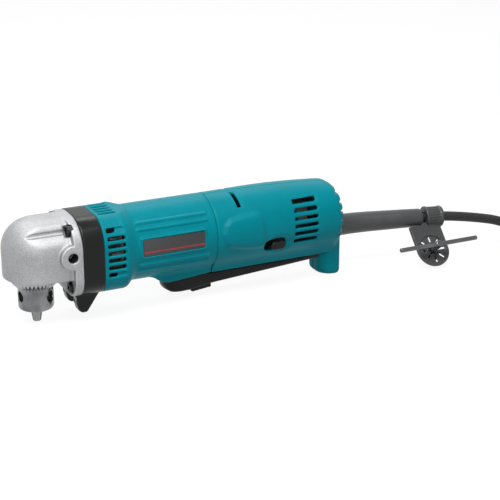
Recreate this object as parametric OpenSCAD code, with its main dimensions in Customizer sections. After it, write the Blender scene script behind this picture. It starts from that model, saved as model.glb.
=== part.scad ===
// Right angle drill: keyed chuck, cast gear housing, lamp collar, motor tube and paddle handle.
// Millimetres. The origin is the chuck mouth, +X runs to the cord, +Z points up.

/* [Layout] */
// height of the motor axis above the chuck mouth
axis_z = 47.5; // [40:0.5:60]
// rise of the pinion shaft above the motor axis
shaft_rise = 12.5; // [11:0.5:15]
// rear face of the gear housing
flange_x = 26.7; // [24:0.1:32]
// length of the lamp collar
collar_len = 15.3; // [14:0.1:20]
// length of the motor housing
motor_len = 86.3; // [80:0.1:110]
// length of the rear handle
handle_len = 107.7; // [90:0.1:140]

/* [Chuck] */
// radius of the chuck body
chuck_r = 12.5; // [11:0.1:16]
// height of the lower face of the chuck body
chuck_low = 9.3; // [8:0.1:12]
// radius of the toothed sleeve
sleeve_r = 16.5; // [15:0.1:20]
// height of the lower edge of the sleeve
sleeve_low = 26.5; // [24:0.1:30]
// radius that the jaws grip at rest
grip_r = 1.5; // [1:0.1:4]
// radius of a jaw rod
jaw_r = 3; // [2.5:0.1:4]
// lean of a jaw from the spindle axis
jaw_tilt = 13; // [10:0.5:18]
// radius of the holes for the key
key_hole_r = 3.8; // [2.5:0.1:4]
// teeth round the sleeve
sleeve_teeth = 36; // [24:1:48]

/* [Gear train] */
// teeth on the armature pinion
motor_teeth = 8; // [7:1:12]
// teeth on the spur wheel
wheel_teeth = 26; // [22:1:34]
// teeth on the bevel pinion
bevel_pinion_teeth = 9; // [8:1:12]
// teeth on the bevel gear
bevel_gear_teeth = 24; // [20:1:30]
// pitch radius of the bevel gear
bevel_gear_r = 16; // [14:0.5:18]
// width of the spur gears
spur_width = 7; // [5:0.5:9]

/* [Housings] */
// how much narrower the gear head is than the flange, on each side
head_inset = 4.3; // [2:0.1:6]
// front offset of the round end of the head from the spindle
head_shift = 2.5; // [0:0.1:6]
// height of the top of the head
head_top = 75.5; // [70:0.5:90]
// height of the lower face of the head
head_low = 34.5; // [32:0.5:40]
// half width of the flange and the collar
collar_half = 29; // [27:0.1:34]
// lower edge of the flange and the collar
collar_low = 19.5; // [16:0.1:24]
// lower corner radius of the collar
collar_corner = 16; // [10:0.5:20]
// upper corner radius of the collar
collar_shoulder = 20; // [12:0.5:22]
// radius of the motor tube
motor_r = 27.5; // [25:0.1:34]
// wall of the plastic housings
wall = 2.5; // [2:0.1:4]
// half width of the lower handle
skirt_half = 15; // [13:0.1:20]
// half width of the rear foot
foot_half = 13; // [10:0.1:16]
// tapping radius of the side handle holes
side_hole_r = 3.4; // [2:0.1:5]
// depth of the side handle holes
side_hole_depth = 11; // [8:0.5:14]

/* [Lever] */
// half width of the lever
lever_half = 12.5; // [10:0.1:14]
// distance of the front end of the lever from the collar
lever_start = 45; // [40:0.5:58]
// distance of the lever pivot from the rear of the handle
lever_pivot_gap = 22; // [20:0.5:32]
// upper edge of the lever
lever_top = 18.6; // [16:0.1:20]
// lowest edge of the lever near the front
lever_low = 7.3; // [5:0.1:12]

/* [Cord] */
// diameter of the cord
cord_d = 7.5; // [6:0.1:9]
// inner turn of the stored coil
coil_inner = 31; // [30:0.5:40]
// loops of the coil in a layer
coil_loops = 2.5; // [1.5:1:4.5]
// gap between neighbouring turns
coil_gap = 0.9; // [0.6:0.1:2]

/* [Hidden] */
overrun = 1;
run_gap = 0.06;
seat_gap = 0.1;
move_gap = 0.5;
$fn = 48;
collar_x = flange_x + collar_len;
seam_x = collar_x + motor_len;
tail_x = seam_x + handle_len;
body_top = axis_z + motor_r + seat_gap;
pinion_z = axis_z + shaft_rise;
head_r = collar_half - head_inset;
lever_front = collar_x + lever_start;
lever_pivot_x = tail_x - lever_pivot_gap;

// chuck
sleeve_len = 10.5;
sleeve_top = sleeve_low + sleeve_len;
sleeve_bevel = 3.2;
sleeve_bore = chuck_r + run_gap;
chuck_top = 39.5;
jaw_high = 22;
grip_len = 14;
shank_r = 5.2;
shank_top = 30;
jaw_slit = 0.5;
jaw_axis_low = -0.28;
jaw_bore_top = chuck_top - overrun;
nose_round = 2.6;
key_hole_z = 20;
key_hole_depth = 5;
tooth_depth = 1.3;
notch_share = 0.9;
jaw_count = 3;
chuck_turn = 10;

// spindle
bearing_low = 40;
bearing_h = 7;
bearing_r = 14;
bearing_bore = 6;
spindle_r = 5;
cap_t = 5.5;
spindle_top = head_top - cap_t;
bush_h = 7;
bush_r = 8;
bevel_hub_low = bearing_low + bearing_h;

// bevel pair
bevel_pinion_r = bevel_gear_r * bevel_pinion_teeth / bevel_gear_teeth;
cone_len = sqrt(pow(bevel_gear_r, 2) + pow(bevel_pinion_r, 2));
bevel_module = 2 * bevel_gear_r / bevel_gear_teeth;
face_share = 0.66;
tip_share = 0.75;
root_share = 1.05;
bevel_tip = tip_share * bevel_module;
bevel_root = root_share * bevel_module;
bevel_flank_shares = [-0.25, -0.11, 0.11, 0.25];
pinion_hub_len = 1.2;

// spur pair
spur_module = 2 * shaft_rise / (motor_teeth + wheel_teeth);
spur_root_share = 1.15;
spur_tip_share = 0.8;
wheel_clear_share = 1.6;
pinion_clear_share = 2.5;
wheel_room_r = spur_module * (wheel_teeth / 2 + wheel_clear_share);
pinion_room_r = spur_module * (motor_teeth / 2 + pinion_clear_share);
spur_gap = 1.6;
spur_x = flange_x + spur_gap;
wheel_bore = 3.5;
shaft_front_r = 3.5;

// bearings of the pinion shaft
front_seat_x = 18;
front_seat_len = 6.5;
front_seat_r = 8.5;
rear_seat_gap = 0.8;
rear_seat_x = spur_x + spur_width + rear_seat_gap;
rear_seat_len = 4.5;
rear_seat_r = 6.5;

// armature
shaft_r = 4;
commutator_r = 11;
core_r = 16;
core_gap = 23;
core_x = collar_x + core_gap;
coil_head = 5.5;
tail_plate = 4.8;
commutator_len = 12;
commutator_gap = 3;
commutator_x = seam_x - tail_plate - commutator_gap - commutator_len;
winding_gap = 2;
core_len = commutator_x - winding_gap - coil_head - core_x;
fan_gap = 7.6;
fan_x = collar_x + fan_gap;
fan_len = 8.5;
fan_r = 22.5;
fan_blades = 12;
blade_t = 1.2;
fan_plate = 1.6;
core_slots = 12;
slot_w = 2.2;
slot_depth = 3;
bars = 24;
bar_cut = 0.6;
bar_depth = 1;
arm_bearing_x = collar_x + seat_gap;
arm_bearing_len = 6;
arm_bearing_r = 9.5;
air_holes = 4;
air_hole_r = 6;
air_ring_r = 16.5;
tail_bearing_r = 8;
tail_bore = 3;

// stator and brushes
stator_r = motor_r - wall - seat_gap;
air_gap = 0.7;
stator_bore = core_r + air_gap;
brush_w = 6;
brush_h = 8;
brush_len = 8;
holder_wall = 1.2;
holder_len = 12.5;
spring_r = 2.2;
spring_wire = 0.45;
spring_low = commutator_r + brush_len + 2 * seat_gap;
spring_high = commutator_r + overrun + holder_len;
coil_y_mid = 19.3;
coil_t = 4;
coil_half = 9;

// housing details
flange_t = 7.8;
seat_t = 4.8;
dome_share = 0.85;
dome_r = dome_share * head_r;
gear_clear = 0.8;
cavity_r = bevel_gear_r + gear_clear;
sleeve_clear = 1.2;
recess_r = sleeve_r + sleeve_clear;
boss_r = 8.6;
boss_h = 0.2;
boss_x = 19.4;
boss_z = 51.9;
screw_r = 2.1;
screw_head_r = 3.8;
screw_head_h = 4;
screw_len = 20;
screw_side = 11.5;
screw_y = collar_half - screw_side;
screw_drop = 6.7;
screw_high = body_top - screw_drop;
screw_lift = 7.5;
screw_low = collar_low + screw_lift;
socket_r = 1.7;
horn_half = 4.6;
horn_y = 11.5;
horn_low = 5.6;
horn_front = 24.6;
horn_foot = 8;
lens_r = 2.6;
lens_h = 1.6;
lens_z = 16.2;
vent_h = 3;
vent_pitch = 5.2;
vent_count = 7;
vent_gap = 2;
vent_x = collar_x + vent_gap;
vent_len = 13;
end_vent_share = 0.5;
vent_top = 66.5;
vent_block = 19;
top_vents = 5;
rib_w = 1.6;
rib_h = 0.9;
rib_gap = 26;
rib_end = 6.3;
rib_x = collar_x + rib_gap;
rib_len = motor_len - rib_gap - rib_end;
rib_angles = [45, 34.5, -20, -31];
plate_gap = 29;
plate_end = 10.3;
plate_x = collar_x + plate_gap;
plate_len = motor_len - plate_gap - plate_end;
plate_low = 44.5;
plate_h = 12.4;
plate_t = 1;
plate_rim = 1.6;
plate_out = 27.8;
boss_lead = 3;
boss_run = 11;
boss_front = lever_front - boss_lead;
boss_knee = boss_front + boss_run;
boss_low = 16.4;
rear_vents = 6;
rear_vent_share = 0.5636;
rear_vent_len_share = 0.1857;
rear_vent_x = seam_x + rear_vent_share * handle_len;
rear_vent_len = rear_vent_len_share * handle_len;
rear_vent_top = 67.5;
rear_vent_pitch = 5.9;
comb_slots = 3;
comb_low = 33;
comb_pitch = 5.2;
comb_h = 2.4;
comb_full = 3;
comb_full_low = comb_low + comb_slots * comb_pitch;
foot_gap = 15.5;
foot_x = tail_x - foot_gap;
foot_len = 15;
foot_round = 5;
tail_round = 22;
tail_corner = 9;
tail_lift = 0.8;
skirt_low = 19;
well_top = 26.5;
comb_depth = 5;
handle_screw_r = 1.9;
handle_screw_head = 3.4;
screw_shares = [0.2014, 0.5171, 0.8235, 0.935];
screw_rises = [60, 62, 66, 22];
handle_screw_places = [for (i = [0 : len(screw_shares) - 1])
    [seam_x + screw_shares[i] * handle_len, screw_rises[i]]];
handle_boss_r = 4.2;
screw_reach = 12;
screw_seat = 11.5;
handle_screw_h = 2.6;
rib_t = 3;
switch_rib_gap = 10;
switch_rib_step = 25;
control_share = 0.5729;
control_x = seam_x + control_share * handle_len;
control_len = 20;
control_half = 9;
control_low = 46;
control_h = 14;
clamp_gap = 15;
clamp_x = tail_x - clamp_gap;
clamp_len = 8;
clamp_half = 12;
clamp_h = 6.5;
clamp_screw_y = 8.5;
clamp_screw_len = 10;
strain_screw_r = 1.6;
strain_head_r = 2.8;
strain_head_h = 1.8;
lead_gap = 24;
lead_x = tail_x - lead_gap;
button_share = 0.4382;
button_x = seam_x + button_share * handle_len;
button_z = 37.7;
button_len = 14;
button_h = 9;
button_travel = 4.5;
button_face = 26.7;
grip_ribs = 5;
grip_rib_h = 0.5;
pocket_len = button_len + button_travel + 2 * move_gap;
guard_z = 34;
clamp_top = guard_z + seat_gap + clamp_h;

// lever details
lever_wall = 2.2;
lever_rear_gap = 16.5;
lever_rear = tail_x - lever_rear_gap;
lever_rear_low = 15.1;
lever_pin_r = 2;
lever_pin_z = 21.6;
lever_pin_half = 14.5;
lever_ear_len = 11.5;
lever_ear_x = lever_rear - lever_ear_len;
lever_ear_top = 24.5;
lever_bend_gap = 23;
lever_bend_x = lever_front + lever_bend_gap;
lever_bend_len = 21;
lever_bend_low = 9.5;
lever_nose = 10;
lever_nose_high = 13;
lever_rib_half = 3;
lock_x = 2;
lock_len = 16;
lock_half = 7;
lock_drop = 2.6;
lock_slot_x = 2.5;
lock_slot_len = 12;
lock_stem_x = 6;
lock_stem_len = 8;
lock_stem_half = 3;
lever_spring_gap = 8;
lever_spring_r = 3;
lever_spring_turns = 6;
lever_spring_low = 13.6;
plunger_gap = 25;
plunger_r = 2.5;
switch_gap = 11.7;
switch_x = seam_x + switch_gap;
switch_rib_x = switch_x + switch_rib_gap;
lever_spring_x = switch_x + lever_spring_gap;
plunger_x = switch_x + plunger_gap;
switch_len = 46;
switch_half = 9;
switch_low = 25.4;
switch_h = 17;
spring_clear = 0.3;
lever_spring_high = switch_low - spring_wire - spring_clear;
plunger_bore = 6;
plunger_spare = 3;

// cord route, from the guard to the coil
cord_r = cord_d / 2;
guard_run = [[-5, 0, 34], [11, 0, 34], [27, -2, 34], [43, -5.5, 34], [59, -9, 34], [73, -11, 33.5]];
cord_run = [[73, -11, 33.5], [87, -13, 33], [97, -14, 32], [109, -14.5, 30], [121, -14.5, 27.5],
    [134, -14, 24.3], [142, -14.2, 22], [151, -15.9, 18.8], [162, -21.3, 14.4], [171, -29.8, 10.8],
    [183, -42.3, 7.6], [197.3, -52.3, 6.1], [211, -57.4, 5.6], [218, -58.95, 5.6], [223.1, -59.5, 5.6]];
guard_route = [for (p = guard_run) p + [tail_x, 0, 0]];
cord_route = [for (p = cord_run) p + [tail_x, 0, 0]];
route_end = cord_route[len(cord_route) - 1];
guard_root_r = 8.5;
guard_tip_r = 7;
guard_plate = 2.5;
guard_plate_r = 10;
sides = 12;
coil_pitch = cord_d + coil_gap;
coil_sides = 6;
coil_rings = 24;
coil_layers = 3;
climb_turn = 180;
coil_start = -90;
coil_turn = 360 * coil_loops;
coil_span = coil_turn * coil_layers + climb_turn;
coil_outer = coil_inner + coil_pitch * coil_loops;
coil_x = route_end[0] + cord_d;
coil_y = route_end[1] + coil_outer;
coil_low = route_end[2];
tie_w = 12;
tie_t = 1.2;
tie_in = coil_inner - cord_d;
tie_span = coil_outer + cord_r + coil_gap - tie_in;
tie_rise = (coil_layers - 1) * coil_pitch + cord_d + coil_gap;
plug_len = 38;
plug_half = 17;
plug_h = 16;
plug_neck = 14;
plug_x = coil_x + cord_d;
plug_neck_r = cord_r + overrun;
pin_len = 19;
pin_r = 2.4;
pin_gap = 19;

// key and its holder
holder_ring_r = 8.5;
holder_ring_len = 15;
holder_shift = [3, -0.4, -0.1];
holder_at = (cord_route[0] + cord_route[1]) / 2 + holder_shift;
holder_x = holder_at[0];
holder_y = holder_at[1];
holder_z = holder_at[2];
holder_run = cord_route[1] - cord_route[0];
holder_yaw = atan2(holder_run[1], holder_run[0]);
holder_pitch = -asin(holder_run[2] / norm(holder_run));
tab_shift = -10;
tab_fall = 48;
tab_reach = 27;
tab_half = 13.5;
tab_t = 3;
tab_slits = 8;
tab_slit_w = 1.2;
tab_slit_r = 10.5;
key_shank_r = 2.85;
key_bar_r = 1.75;
key_bar_half = 34.5;
key_bar_rise = 11;
key_gear_r = 7.7;
key_gear_len = 7;
key_gear_low = tab_t / 2 + 2 * move_gap;
key_tooth_gap = 1.8;
key_pilot_r = 3.1;
key_pilot_len = 5;
key_teeth = 12;

// a flat outline stood up across the tool and run along X
module along_x(x, length) {
    translate([x, 0, 0]) rotate([90, 0, 90]) linear_extrude(height = length) children();
}

// a side outline run across the tool along Y
module along_y(y, length) {
    translate([0, y + length, 0]) rotate([90, 0, 0]) linear_extrude(height = length) children();
}

// a round bar along X
module rod_x(x, length, r, z) {
    translate([x, 0, z]) rotate([0, 90, 0]) cylinder(h = length, r = r);
}

// a round bar along Y
module rod_y(x, y, z, length, r) {
    translate([x, y + length, z]) rotate([90, 0, 0]) cylinder(h = length, r = r);
}

// an upright outline with its own corner radii above and below
module round_box(half, low, high, r_high, r_low) {
    translate([-half, low + r_low]) square([2 * half, high - low - r_high - r_low]);
    translate([-half + r_high, high - r_high]) square([2 * (half - r_high), r_high]);
    translate([-half + r_low, low]) square([2 * (half - r_low), r_low]);
    for (side = [-1, 1]) {
        translate([side * (half - r_high), high - r_high]) circle(r = r_high);
        translate([side * (half - r_low), low + r_low]) circle(r = r_low);
    }
}

// a slot with round ends along the first axis
module slot(length, height) {
    translate([height / 2, -height / 2]) square([length - height, height]);
    translate([height / 2, 0]) circle(d = height);
    translate([length - height / 2, 0]) circle(d = height);
}

// outline of a spur gear with straight flanks
module spur_outline(teeth, pitch) {
    root_r = pitch * (teeth / 2 - spur_root_share);
    tip_r = pitch * (teeth / 2 + spur_tip_share);
    step = 360 / teeth;
    flank_shares = [-0.3, -0.12, 0.12, 0.3];
    polygon([for (i = [0 : teeth - 1]) for (k = [0 : 3])
        let (r = (k == 0 || k == 3) ? root_r : tip_r, a = step * (i + flank_shares[k]))
        [r * cos(a), r * sin(a)]]);
}

// ring of tooth corners of a straight bevel gear, scaled towards the apex at the origin
function bevel_ring(r, mate_r, teeth, share) = let (out = [mate_r, r] / cone_len,
    low = share * ([r, -mate_r] - bevel_root * out), tip = share * ([r, -mate_r] + bevel_tip * out))
    [for (i = [0 : teeth - 1]) for (k = [0 : 3])
        let (p = (k == 0 || k == 3) ? low : tip, a = 360 / teeth * (i + bevel_flank_shares[k]))
        [p[0] * cos(a), p[0] * sin(a), p[1]]];

// a bevel gear below its apex, with its back face at the given depth
module bevel_body(r, mate_r, teeth, back) {
    n = 4 * teeth;
    outer = bevel_ring(r, mate_r, teeth, 1);
    inner = bevel_ring(r, mate_r, teeth, face_share);
    back_r = (r - bevel_module) / r;
    base = [for (p = outer) [back_r * p[0], back_r * p[1], -back]];
    tops = [[0, 0, inner[0][2]], [0, 0, -back]];
    next = [for (k = [0 : n - 1]) (k + 1) % n];
    polyhedron(points = concat(inner, outer, base, tops),
        faces = [for (k = [0 : n - 1]) let (m = next[k]) each
        [[3 * n, m, k], [k, m, n + m], [k, n + m, n + k], [n + k, n + m, 2 * n + m],
        [n + k, 2 * n + m, 2 * n + k],
            [2 * n + k, 2 * n + m, 3 * n + 1]]]);
}

// a ball bearing drawn as two rings and a shield, along Z
module bearing(bore, r, h) {
    ring_share = 0.28;
    step = (r - bore) * ring_share;
    shield_share = 0.1;
    shield = h * shield_share;
    rotate_extrude() polygon([[bore, 0], [bore + step, 0], [bore + step, shield], [r - step, shield],
        [r - step, 0], [r, 0], [r, h], [r - step, h], [r - step, h - shield], [bore + step, h - shield],
        [bore + step, h], [bore, h]]);
}

// the same bearing along X
module bearing_x(x, z, bore, r, h) {
    translate([x, 0, z]) rotate([0, 90, 0]) bearing(bore, r, h);
}

// vectors and rings of a swept tube
function unit(v) = v / norm(v);
function heading(path, i) = unit(path[min(i + 1, len(path) - 1)] - path[max(i - 1, 0)]);
function ring_at(p, t, r, n) = let (u = unit(cross([0, 0, 1], t)), v = cross(t, u))
    [for (k = [0 : n - 1]) p + r * (cos(360 * k / n) * u + sin(360 * k / n) * v)];
function tube_faces(rings, n) = concat([[for (k = [n - 1 : -1 : 0]) k]],
    [for (i = [0 : rings - 2]) for (k = [0 : n - 1]) let (a = i * n + k, b = i * n + (k + 1) % n)
        each [[a, b, b + n], [a, b + n, a + n]]],
    [[for (k = [0 : n - 1]) (rings - 1) * n + k]]);

// a closed tube along a path, with one radius for each point
module tube(path, radii, n) {
    count = len(path);
    points = [for (i = [0 : count - 1]) each ring_at(path[i], heading(path, i), radii[i], n)];
    polyhedron(points = points,
        faces = [for (f = tube_faces(count, n)) [for (k = [len(f) - 1 : -1 : 0]) f[k]]]);
}

// the section shared by the flange, the collar and the vent block
module collar_outline(inset) {
    round_box(collar_half - inset, collar_low + inset, body_top - inset, collar_shoulder - inset,
        collar_corner - inset);
}

// the section shared by the motor tube behind the vents and the handle
module barrel_outline(inset) {
    translate([0, axis_z]) circle(r = motor_r - inset);
}

// the section of the handle, with straight sides below the barrel
module handle_outline(inset, drop) {
    barrel_outline(inset);
    translate([-skirt_half + inset, skirt_low - drop])
        square([2 * (skirt_half - inset), axis_z - skirt_low + drop]);
}

// threaded hole and D-shaped lip on one side of the head
module side_boss(side) intersection() {
    translate([boss_x, 0, boss_z]) rotate([side * -90, 0, 0])
        cylinder(h = collar_half + boss_h, r = boss_r);
    translate([boss_x - 2 * boss_r, -2 * collar_half, boss_z - 2 * boss_r])
        cube([flange_x - boss_x + 2 * boss_r, 4 * collar_half, 4 * boss_r]);
}

// the cast head with its dome, flange and bosses
module gear_housing() color("#b9bcc0") difference() {
    union() {
        translate([head_shift, 0, head_low]) rotate_extrude() {
            square([head_r, head_top - head_low - dome_r]);
            square([head_r - dome_r, head_top - head_low]);
            translate([head_r - dome_r, head_top - head_low - dome_r]) intersection() {
                circle(r = dome_r);
                square(dome_r);
            }
        }
        along_x(head_shift, flange_x - head_shift)
            round_box(head_r, head_low, head_top, dome_r, overrun);
        along_x(flange_x - flange_t, flange_t) collar_outline(0);
        side_boss(1);
        side_boss(-1);
    }
    translate([0, 0, head_low - overrun]) cylinder(h = bearing_low - head_low + overrun, r = recess_r);
    translate([0, 0, bearing_low - overrun]) cylinder(h = bearing_h + 2 * overrun, r = bearing_r);
    translate([0, 0, bevel_hub_low])
        cylinder(h = spindle_top - bush_h - bevel_hub_low, r = cavity_r);
    translate([0, 0, spindle_top - bush_h - overrun]) cylinder(h = bush_h + 2 * overrun, r = bush_r);
    rod_x(0, flange_x + overrun, front_seat_r - overrun, pinion_z);
    rod_x(front_seat_x, flange_x, front_seat_r, pinion_z);
    rod_x(front_seat_x + front_seat_len, flange_x, wheel_room_r, pinion_z);
    rod_x(front_seat_x + front_seat_len, flange_x, pinion_room_r, axis_z);
    for (side = [-1, 1]) translate([boss_x, side * (collar_half + boss_h), boss_z]) rotate([side * 90, 0, 0])
        cylinder(h = side_hole_depth, r = side_hole_r);
    for (side = [-1, 1]) for (z = [screw_low, screw_high]) {
        rod_x_at(flange_x - screw_head_h - seat_t, flange_x, screw_r, side * screw_y, z);
        rod_x_at(-head_r, head_r + flange_x - seat_t, screw_head_r + seat_gap, side * screw_y, z);
    }
}

// a round bar along X at a place off the middle
module rod_x_at(x, length, r, y, z) {
    translate([0, y, 0]) rod_x(x, length, r, z);
}

// four socket screws that hold the head to the collar
module head_screws() color("#1c1c1e") for (side = [-1, 1]) for (z = [screw_low, screw_high]) difference() {
    union() {
        rod_x_at(flange_x - seat_t - screw_head_h, screw_head_h, screw_head_r, side * screw_y, z);
        rod_x_at(flange_x - seat_t, screw_len - seat_t, screw_r - seat_gap, side * screw_y, z);
    }
    rod_x_at(flange_x - seat_t - screw_head_h - overrun, screw_head_h / 2 + overrun, socket_r,
        side * screw_y, z, $fn = 6);
}

// axis line of a jaw, leaning out from the spindle
module jaw_line(index) {
    rotate([0, 0, chuck_turn + 360 * index / jaw_count]) translate([jaw_axis_low, 0, 0])
        rotate([0, jaw_tilt, 0]) children();
}

// chuck body and spindle in one piece
module spindle() color("#8c8f94") difference() {
    union() {
        rotate_extrude() {
            translate([0, chuck_low + nose_round]) square([chuck_r, chuck_top - chuck_low - nose_round]);
            translate([0, chuck_low]) square([chuck_r - nose_round, nose_round]);
            translate([chuck_r - nose_round, chuck_low + nose_round]) circle(r = nose_round);
        }
        cylinder_from(chuck_top - overrun, bevel_hub_low, bearing_bore);
        cylinder_from(bevel_hub_low - overrun, spindle_top - seat_gap, spindle_r);
    }
    for (i = [0 : jaw_count - 1]) {
        intersection() {
            jaw_line(i) cylinder(h = chuck_top + overrun, r = jaw_r + run_gap);
            cylinder_from(0, jaw_bore_top, chuck_r - overrun);
        }
        rotate([0, 0, chuck_turn + 360 * i / jaw_count + 180])
            translate([chuck_r - key_hole_depth, 0, key_hole_z]) rotate([0, 90, 0])
                cylinder(h = key_hole_depth + overrun, r = key_hole_r);
    }
    cylinder_from(0, shank_top, shank_r);
}

// a round bar along Z between two heights
module cylinder_from(low, high, r) {
    translate([0, 0, low]) cylinder(h = high - low, r = r);
}

// one chuck jaw: a leaning rod with a third of the grip on it
module jaw(index) color("#6f7276") difference() {
    intersection() {
        jaw_line(index) translate([0, 0, -jaw_high]) cylinder(h = 3 * jaw_high, r = jaw_r);
        rotate([0, 0, chuck_turn + 360 * index / jaw_count]) linear_extrude(height = jaw_high)
            polygon([[jaw_slit, 0], [chuck_r, (chuck_r - jaw_slit) * tan(60)],
                [chuck_r, -(chuck_r - jaw_slit) * tan(60)]]);
    }
    cylinder_from(-overrun, jaw_high + overrun, grip_r);
    cylinder_from(grip_len, jaw_high + overrun, grip_r + overrun);
}

module jaw_1() jaw(0);
module jaw_2() jaw(1);
module jaw_3() jaw(2);

// toothed ring that the key turns
module chuck_sleeve() color("#7d8085") difference() {
    rotate_extrude() polygon([[sleeve_bore, sleeve_low], [sleeve_r - sleeve_bevel, sleeve_low],
        [sleeve_r, sleeve_low + sleeve_bevel], [sleeve_r, sleeve_top], [sleeve_bore, sleeve_top]]);
    for (i = [0 : sleeve_teeth - 1]) rotate([0, 0, 360 * i / sleeve_teeth])
        translate([sleeve_r - sleeve_bevel / 2, 0, sleeve_low]) rotate([0, 45, 0])
            cube([4 * sleeve_bevel, PI * sleeve_r / sleeve_teeth * notch_share, 2 * tooth_depth],
                center = true);
}

// bevel gear pressed on the spindle
module bevel_gear() color("#9a9ca0") difference() {
    translate([0, 0, pinion_z])
        bevel_body(bevel_gear_r, bevel_pinion_r, bevel_gear_teeth, pinion_z - bevel_hub_low - move_gap);
    cylinder_from(bearing_low, spindle_top, spindle_r);
}

module spindle_bearing() color("#a9acb1") translate([0, 0, bearing_low])
    bearing(bearing_bore + run_gap, bearing_r, bearing_h);

// plain bush for the upper end of the spindle
module spindle_bush() color("#b08a4a") difference() {
    cylinder_from(spindle_top - bush_h, spindle_top, bush_r);
    cylinder_from(spindle_top - bush_h - overrun, spindle_top + overrun, spindle_r + run_gap);
}

// shaft with the bevel pinion on its front end
module pinion_shaft() color("#9a9ca0") {
    translate([0, 0, pinion_z]) rotate([0, -90, 0])
        bevel_body(bevel_pinion_r, bevel_gear_r, bevel_pinion_teeth, bevel_gear_r + pinion_hub_len);
    rod_x(bevel_gear_r, rear_seat_x + rear_seat_len - bevel_gear_r, shaft_front_r, pinion_z);
}

module spur_wheel() color("#a3a5a9") difference() {
    along_x(spur_x, spur_width) translate([0, pinion_z]) spur_outline(wheel_teeth, spur_module);
    rod_x(spur_x - overrun, spur_width + 2 * overrun, wheel_bore, pinion_z);
}

module pinion_bearing_front() color("#a9acb1")
    bearing_x(front_seat_x, pinion_z, shaft_front_r + run_gap, front_seat_r, front_seat_len);

module pinion_bearing_rear() color("#a9acb1")
    bearing_x(rear_seat_x, pinion_z, shaft_front_r + run_gap, rear_seat_r, rear_seat_len);

// lamp collar between the head and the motor, with two horns that hold the lamps
module lamp_collar() color("#1d1d1f") difference() {
    union() {
        difference() {
            union() {
                along_x(flange_x, collar_len) collar_outline(0);
                for (side = [-1, 1]) along_y(side * horn_y - horn_half, 2 * horn_half)
                    polygon([[horn_front, horn_low + horn_foot / 2], [horn_front + horn_foot / 3, horn_low],
                        [horn_front + horn_foot, horn_low], [collar_x, collar_low],
                        [collar_x, collar_low + horn_foot], [flange_x, collar_low + horn_foot],
                        [flange_x, collar_low - seat_gap], [horn_front, collar_low - seat_gap]]);
            }
            along_x(flange_x - overrun, rear_seat_x - flange_x + overrun) collar_outline(2 * wall);
        }
        for (side = [-1, 1]) for (z = [screw_low, screw_high])
            rod_x_at(flange_x, collar_len - overrun, 2 * screw_r, side * screw_y, z);
        rod_x(collar_x - overrun, arm_bearing_len + overrun, arm_bearing_r + wall, axis_z);
    }
    rod_x(flange_x - overrun, rear_seat_x - flange_x + overrun, wheel_room_r, pinion_z);
    rod_x(rear_seat_x - overrun, rear_seat_len + overrun, rear_seat_r, pinion_z);
    rod_x(rear_seat_x - overrun, collar_len, shaft_r + overrun, axis_z);
    rod_x(arm_bearing_x, collar_len, arm_bearing_r, axis_z);
    for (side = [-1, 1]) {
        rod_x_at(horn_front - overrun, lens_h + overrun, lens_r + seat_gap, side * horn_y, lens_z);
        for (z = [screw_low, screw_high])
            rod_x_at(flange_x - overrun, screw_len - seat_t, screw_r, side * screw_y, z);
    }
}

// clear lenses in the front of the horns
module lamp_lenses() color("#e8eef2") for (side = [-1, 1])
    rod_x_at(horn_front + seat_gap, lens_h - seat_gap, lens_r, side * horn_y, lens_z);

// motor tube with its vent block, ribs, lever boss and rear bearing plate
module motor_housing() color("#12788a") difference() {
    union() {
        difference() {
            union() {
                along_x(collar_x, vent_block) collar_outline(0);
                along_x(collar_x, motor_len) barrel_outline(0);
                along_y(-skirt_half, 2 * skirt_half) polygon([[boss_front, axis_z - motor_r + wall],
                    [boss_knee, boss_low], [seam_x, skirt_low], [seam_x, axis_z], [boss_knee, axis_z]]);
                for (side = [-1, 1]) for (angle = rib_angles) translate([rib_x, 0, axis_z])
                    mirror([0, side < 0 ? 0 : 1, 0]) rotate([-angle, 0, 0])
                        translate([0, -motor_r - rib_h, -rib_w / 2]) cube([rib_len, wall, rib_w]);
                translate([plate_x - plate_rim, -plate_out, plate_low - plate_rim])
                    cube([plate_len + 2 * plate_rim, plate_out - stator_r, plate_h + 2 * plate_rim]);
            }
            along_x(collar_x - overrun, vent_block - wall + overrun) collar_outline(wall);
            along_x(collar_x - overrun, motor_len + 2 * overrun) barrel_outline(wall);
            translate([lever_front - wall, -lever_half - move_gap, 0])
                cube([motor_len, 2 * (lever_half + move_gap), axis_z - stator_r + run_gap]);
        }
        difference() {
            along_x(seam_x - tail_plate, tail_plate) barrel_outline(overrun);
            rod_x(seam_x - tail_plate - overrun, tail_plate + 2 * overrun, tail_bearing_r, axis_z);
            for (i = [0 : air_holes - 1]) translate([0, 0, axis_z])
                rotate([360 * (i + 0.5) / air_holes, 0, 0]) rod_x_at(seam_x - tail_plate - overrun,
                    tail_plate + 2 * overrun, air_hole_r, air_ring_r, 0);
        }
    }
    for (i = [0 : vent_count - 1]) along_y(-collar_half - overrun, 2 * (collar_half + overrun))
        translate([vent_x, vent_top - i * vent_pitch])
            slot(i % (vent_count - 1) == 0 ? end_vent_share * vent_len : vent_len, vent_h);
    for (i = [0 : top_vents - 1]) translate([vent_x, (i - (top_vents - 1) / 2) * vent_pitch, axis_z])
        linear_extrude(height = motor_r + 2 * overrun) slot(vent_len, vent_h);
    translate([plate_x, -plate_out - overrun, plate_low]) cube([plate_len, plate_t + overrun, plate_h]);
}

// name plate, left bare
module name_plate() color("#2c2d30") translate([plate_x + seat_gap, -plate_out, plate_low + seat_gap])
    cube([plate_len - 2 * seat_gap, plate_t, plate_h - 2 * seat_gap]);

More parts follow.
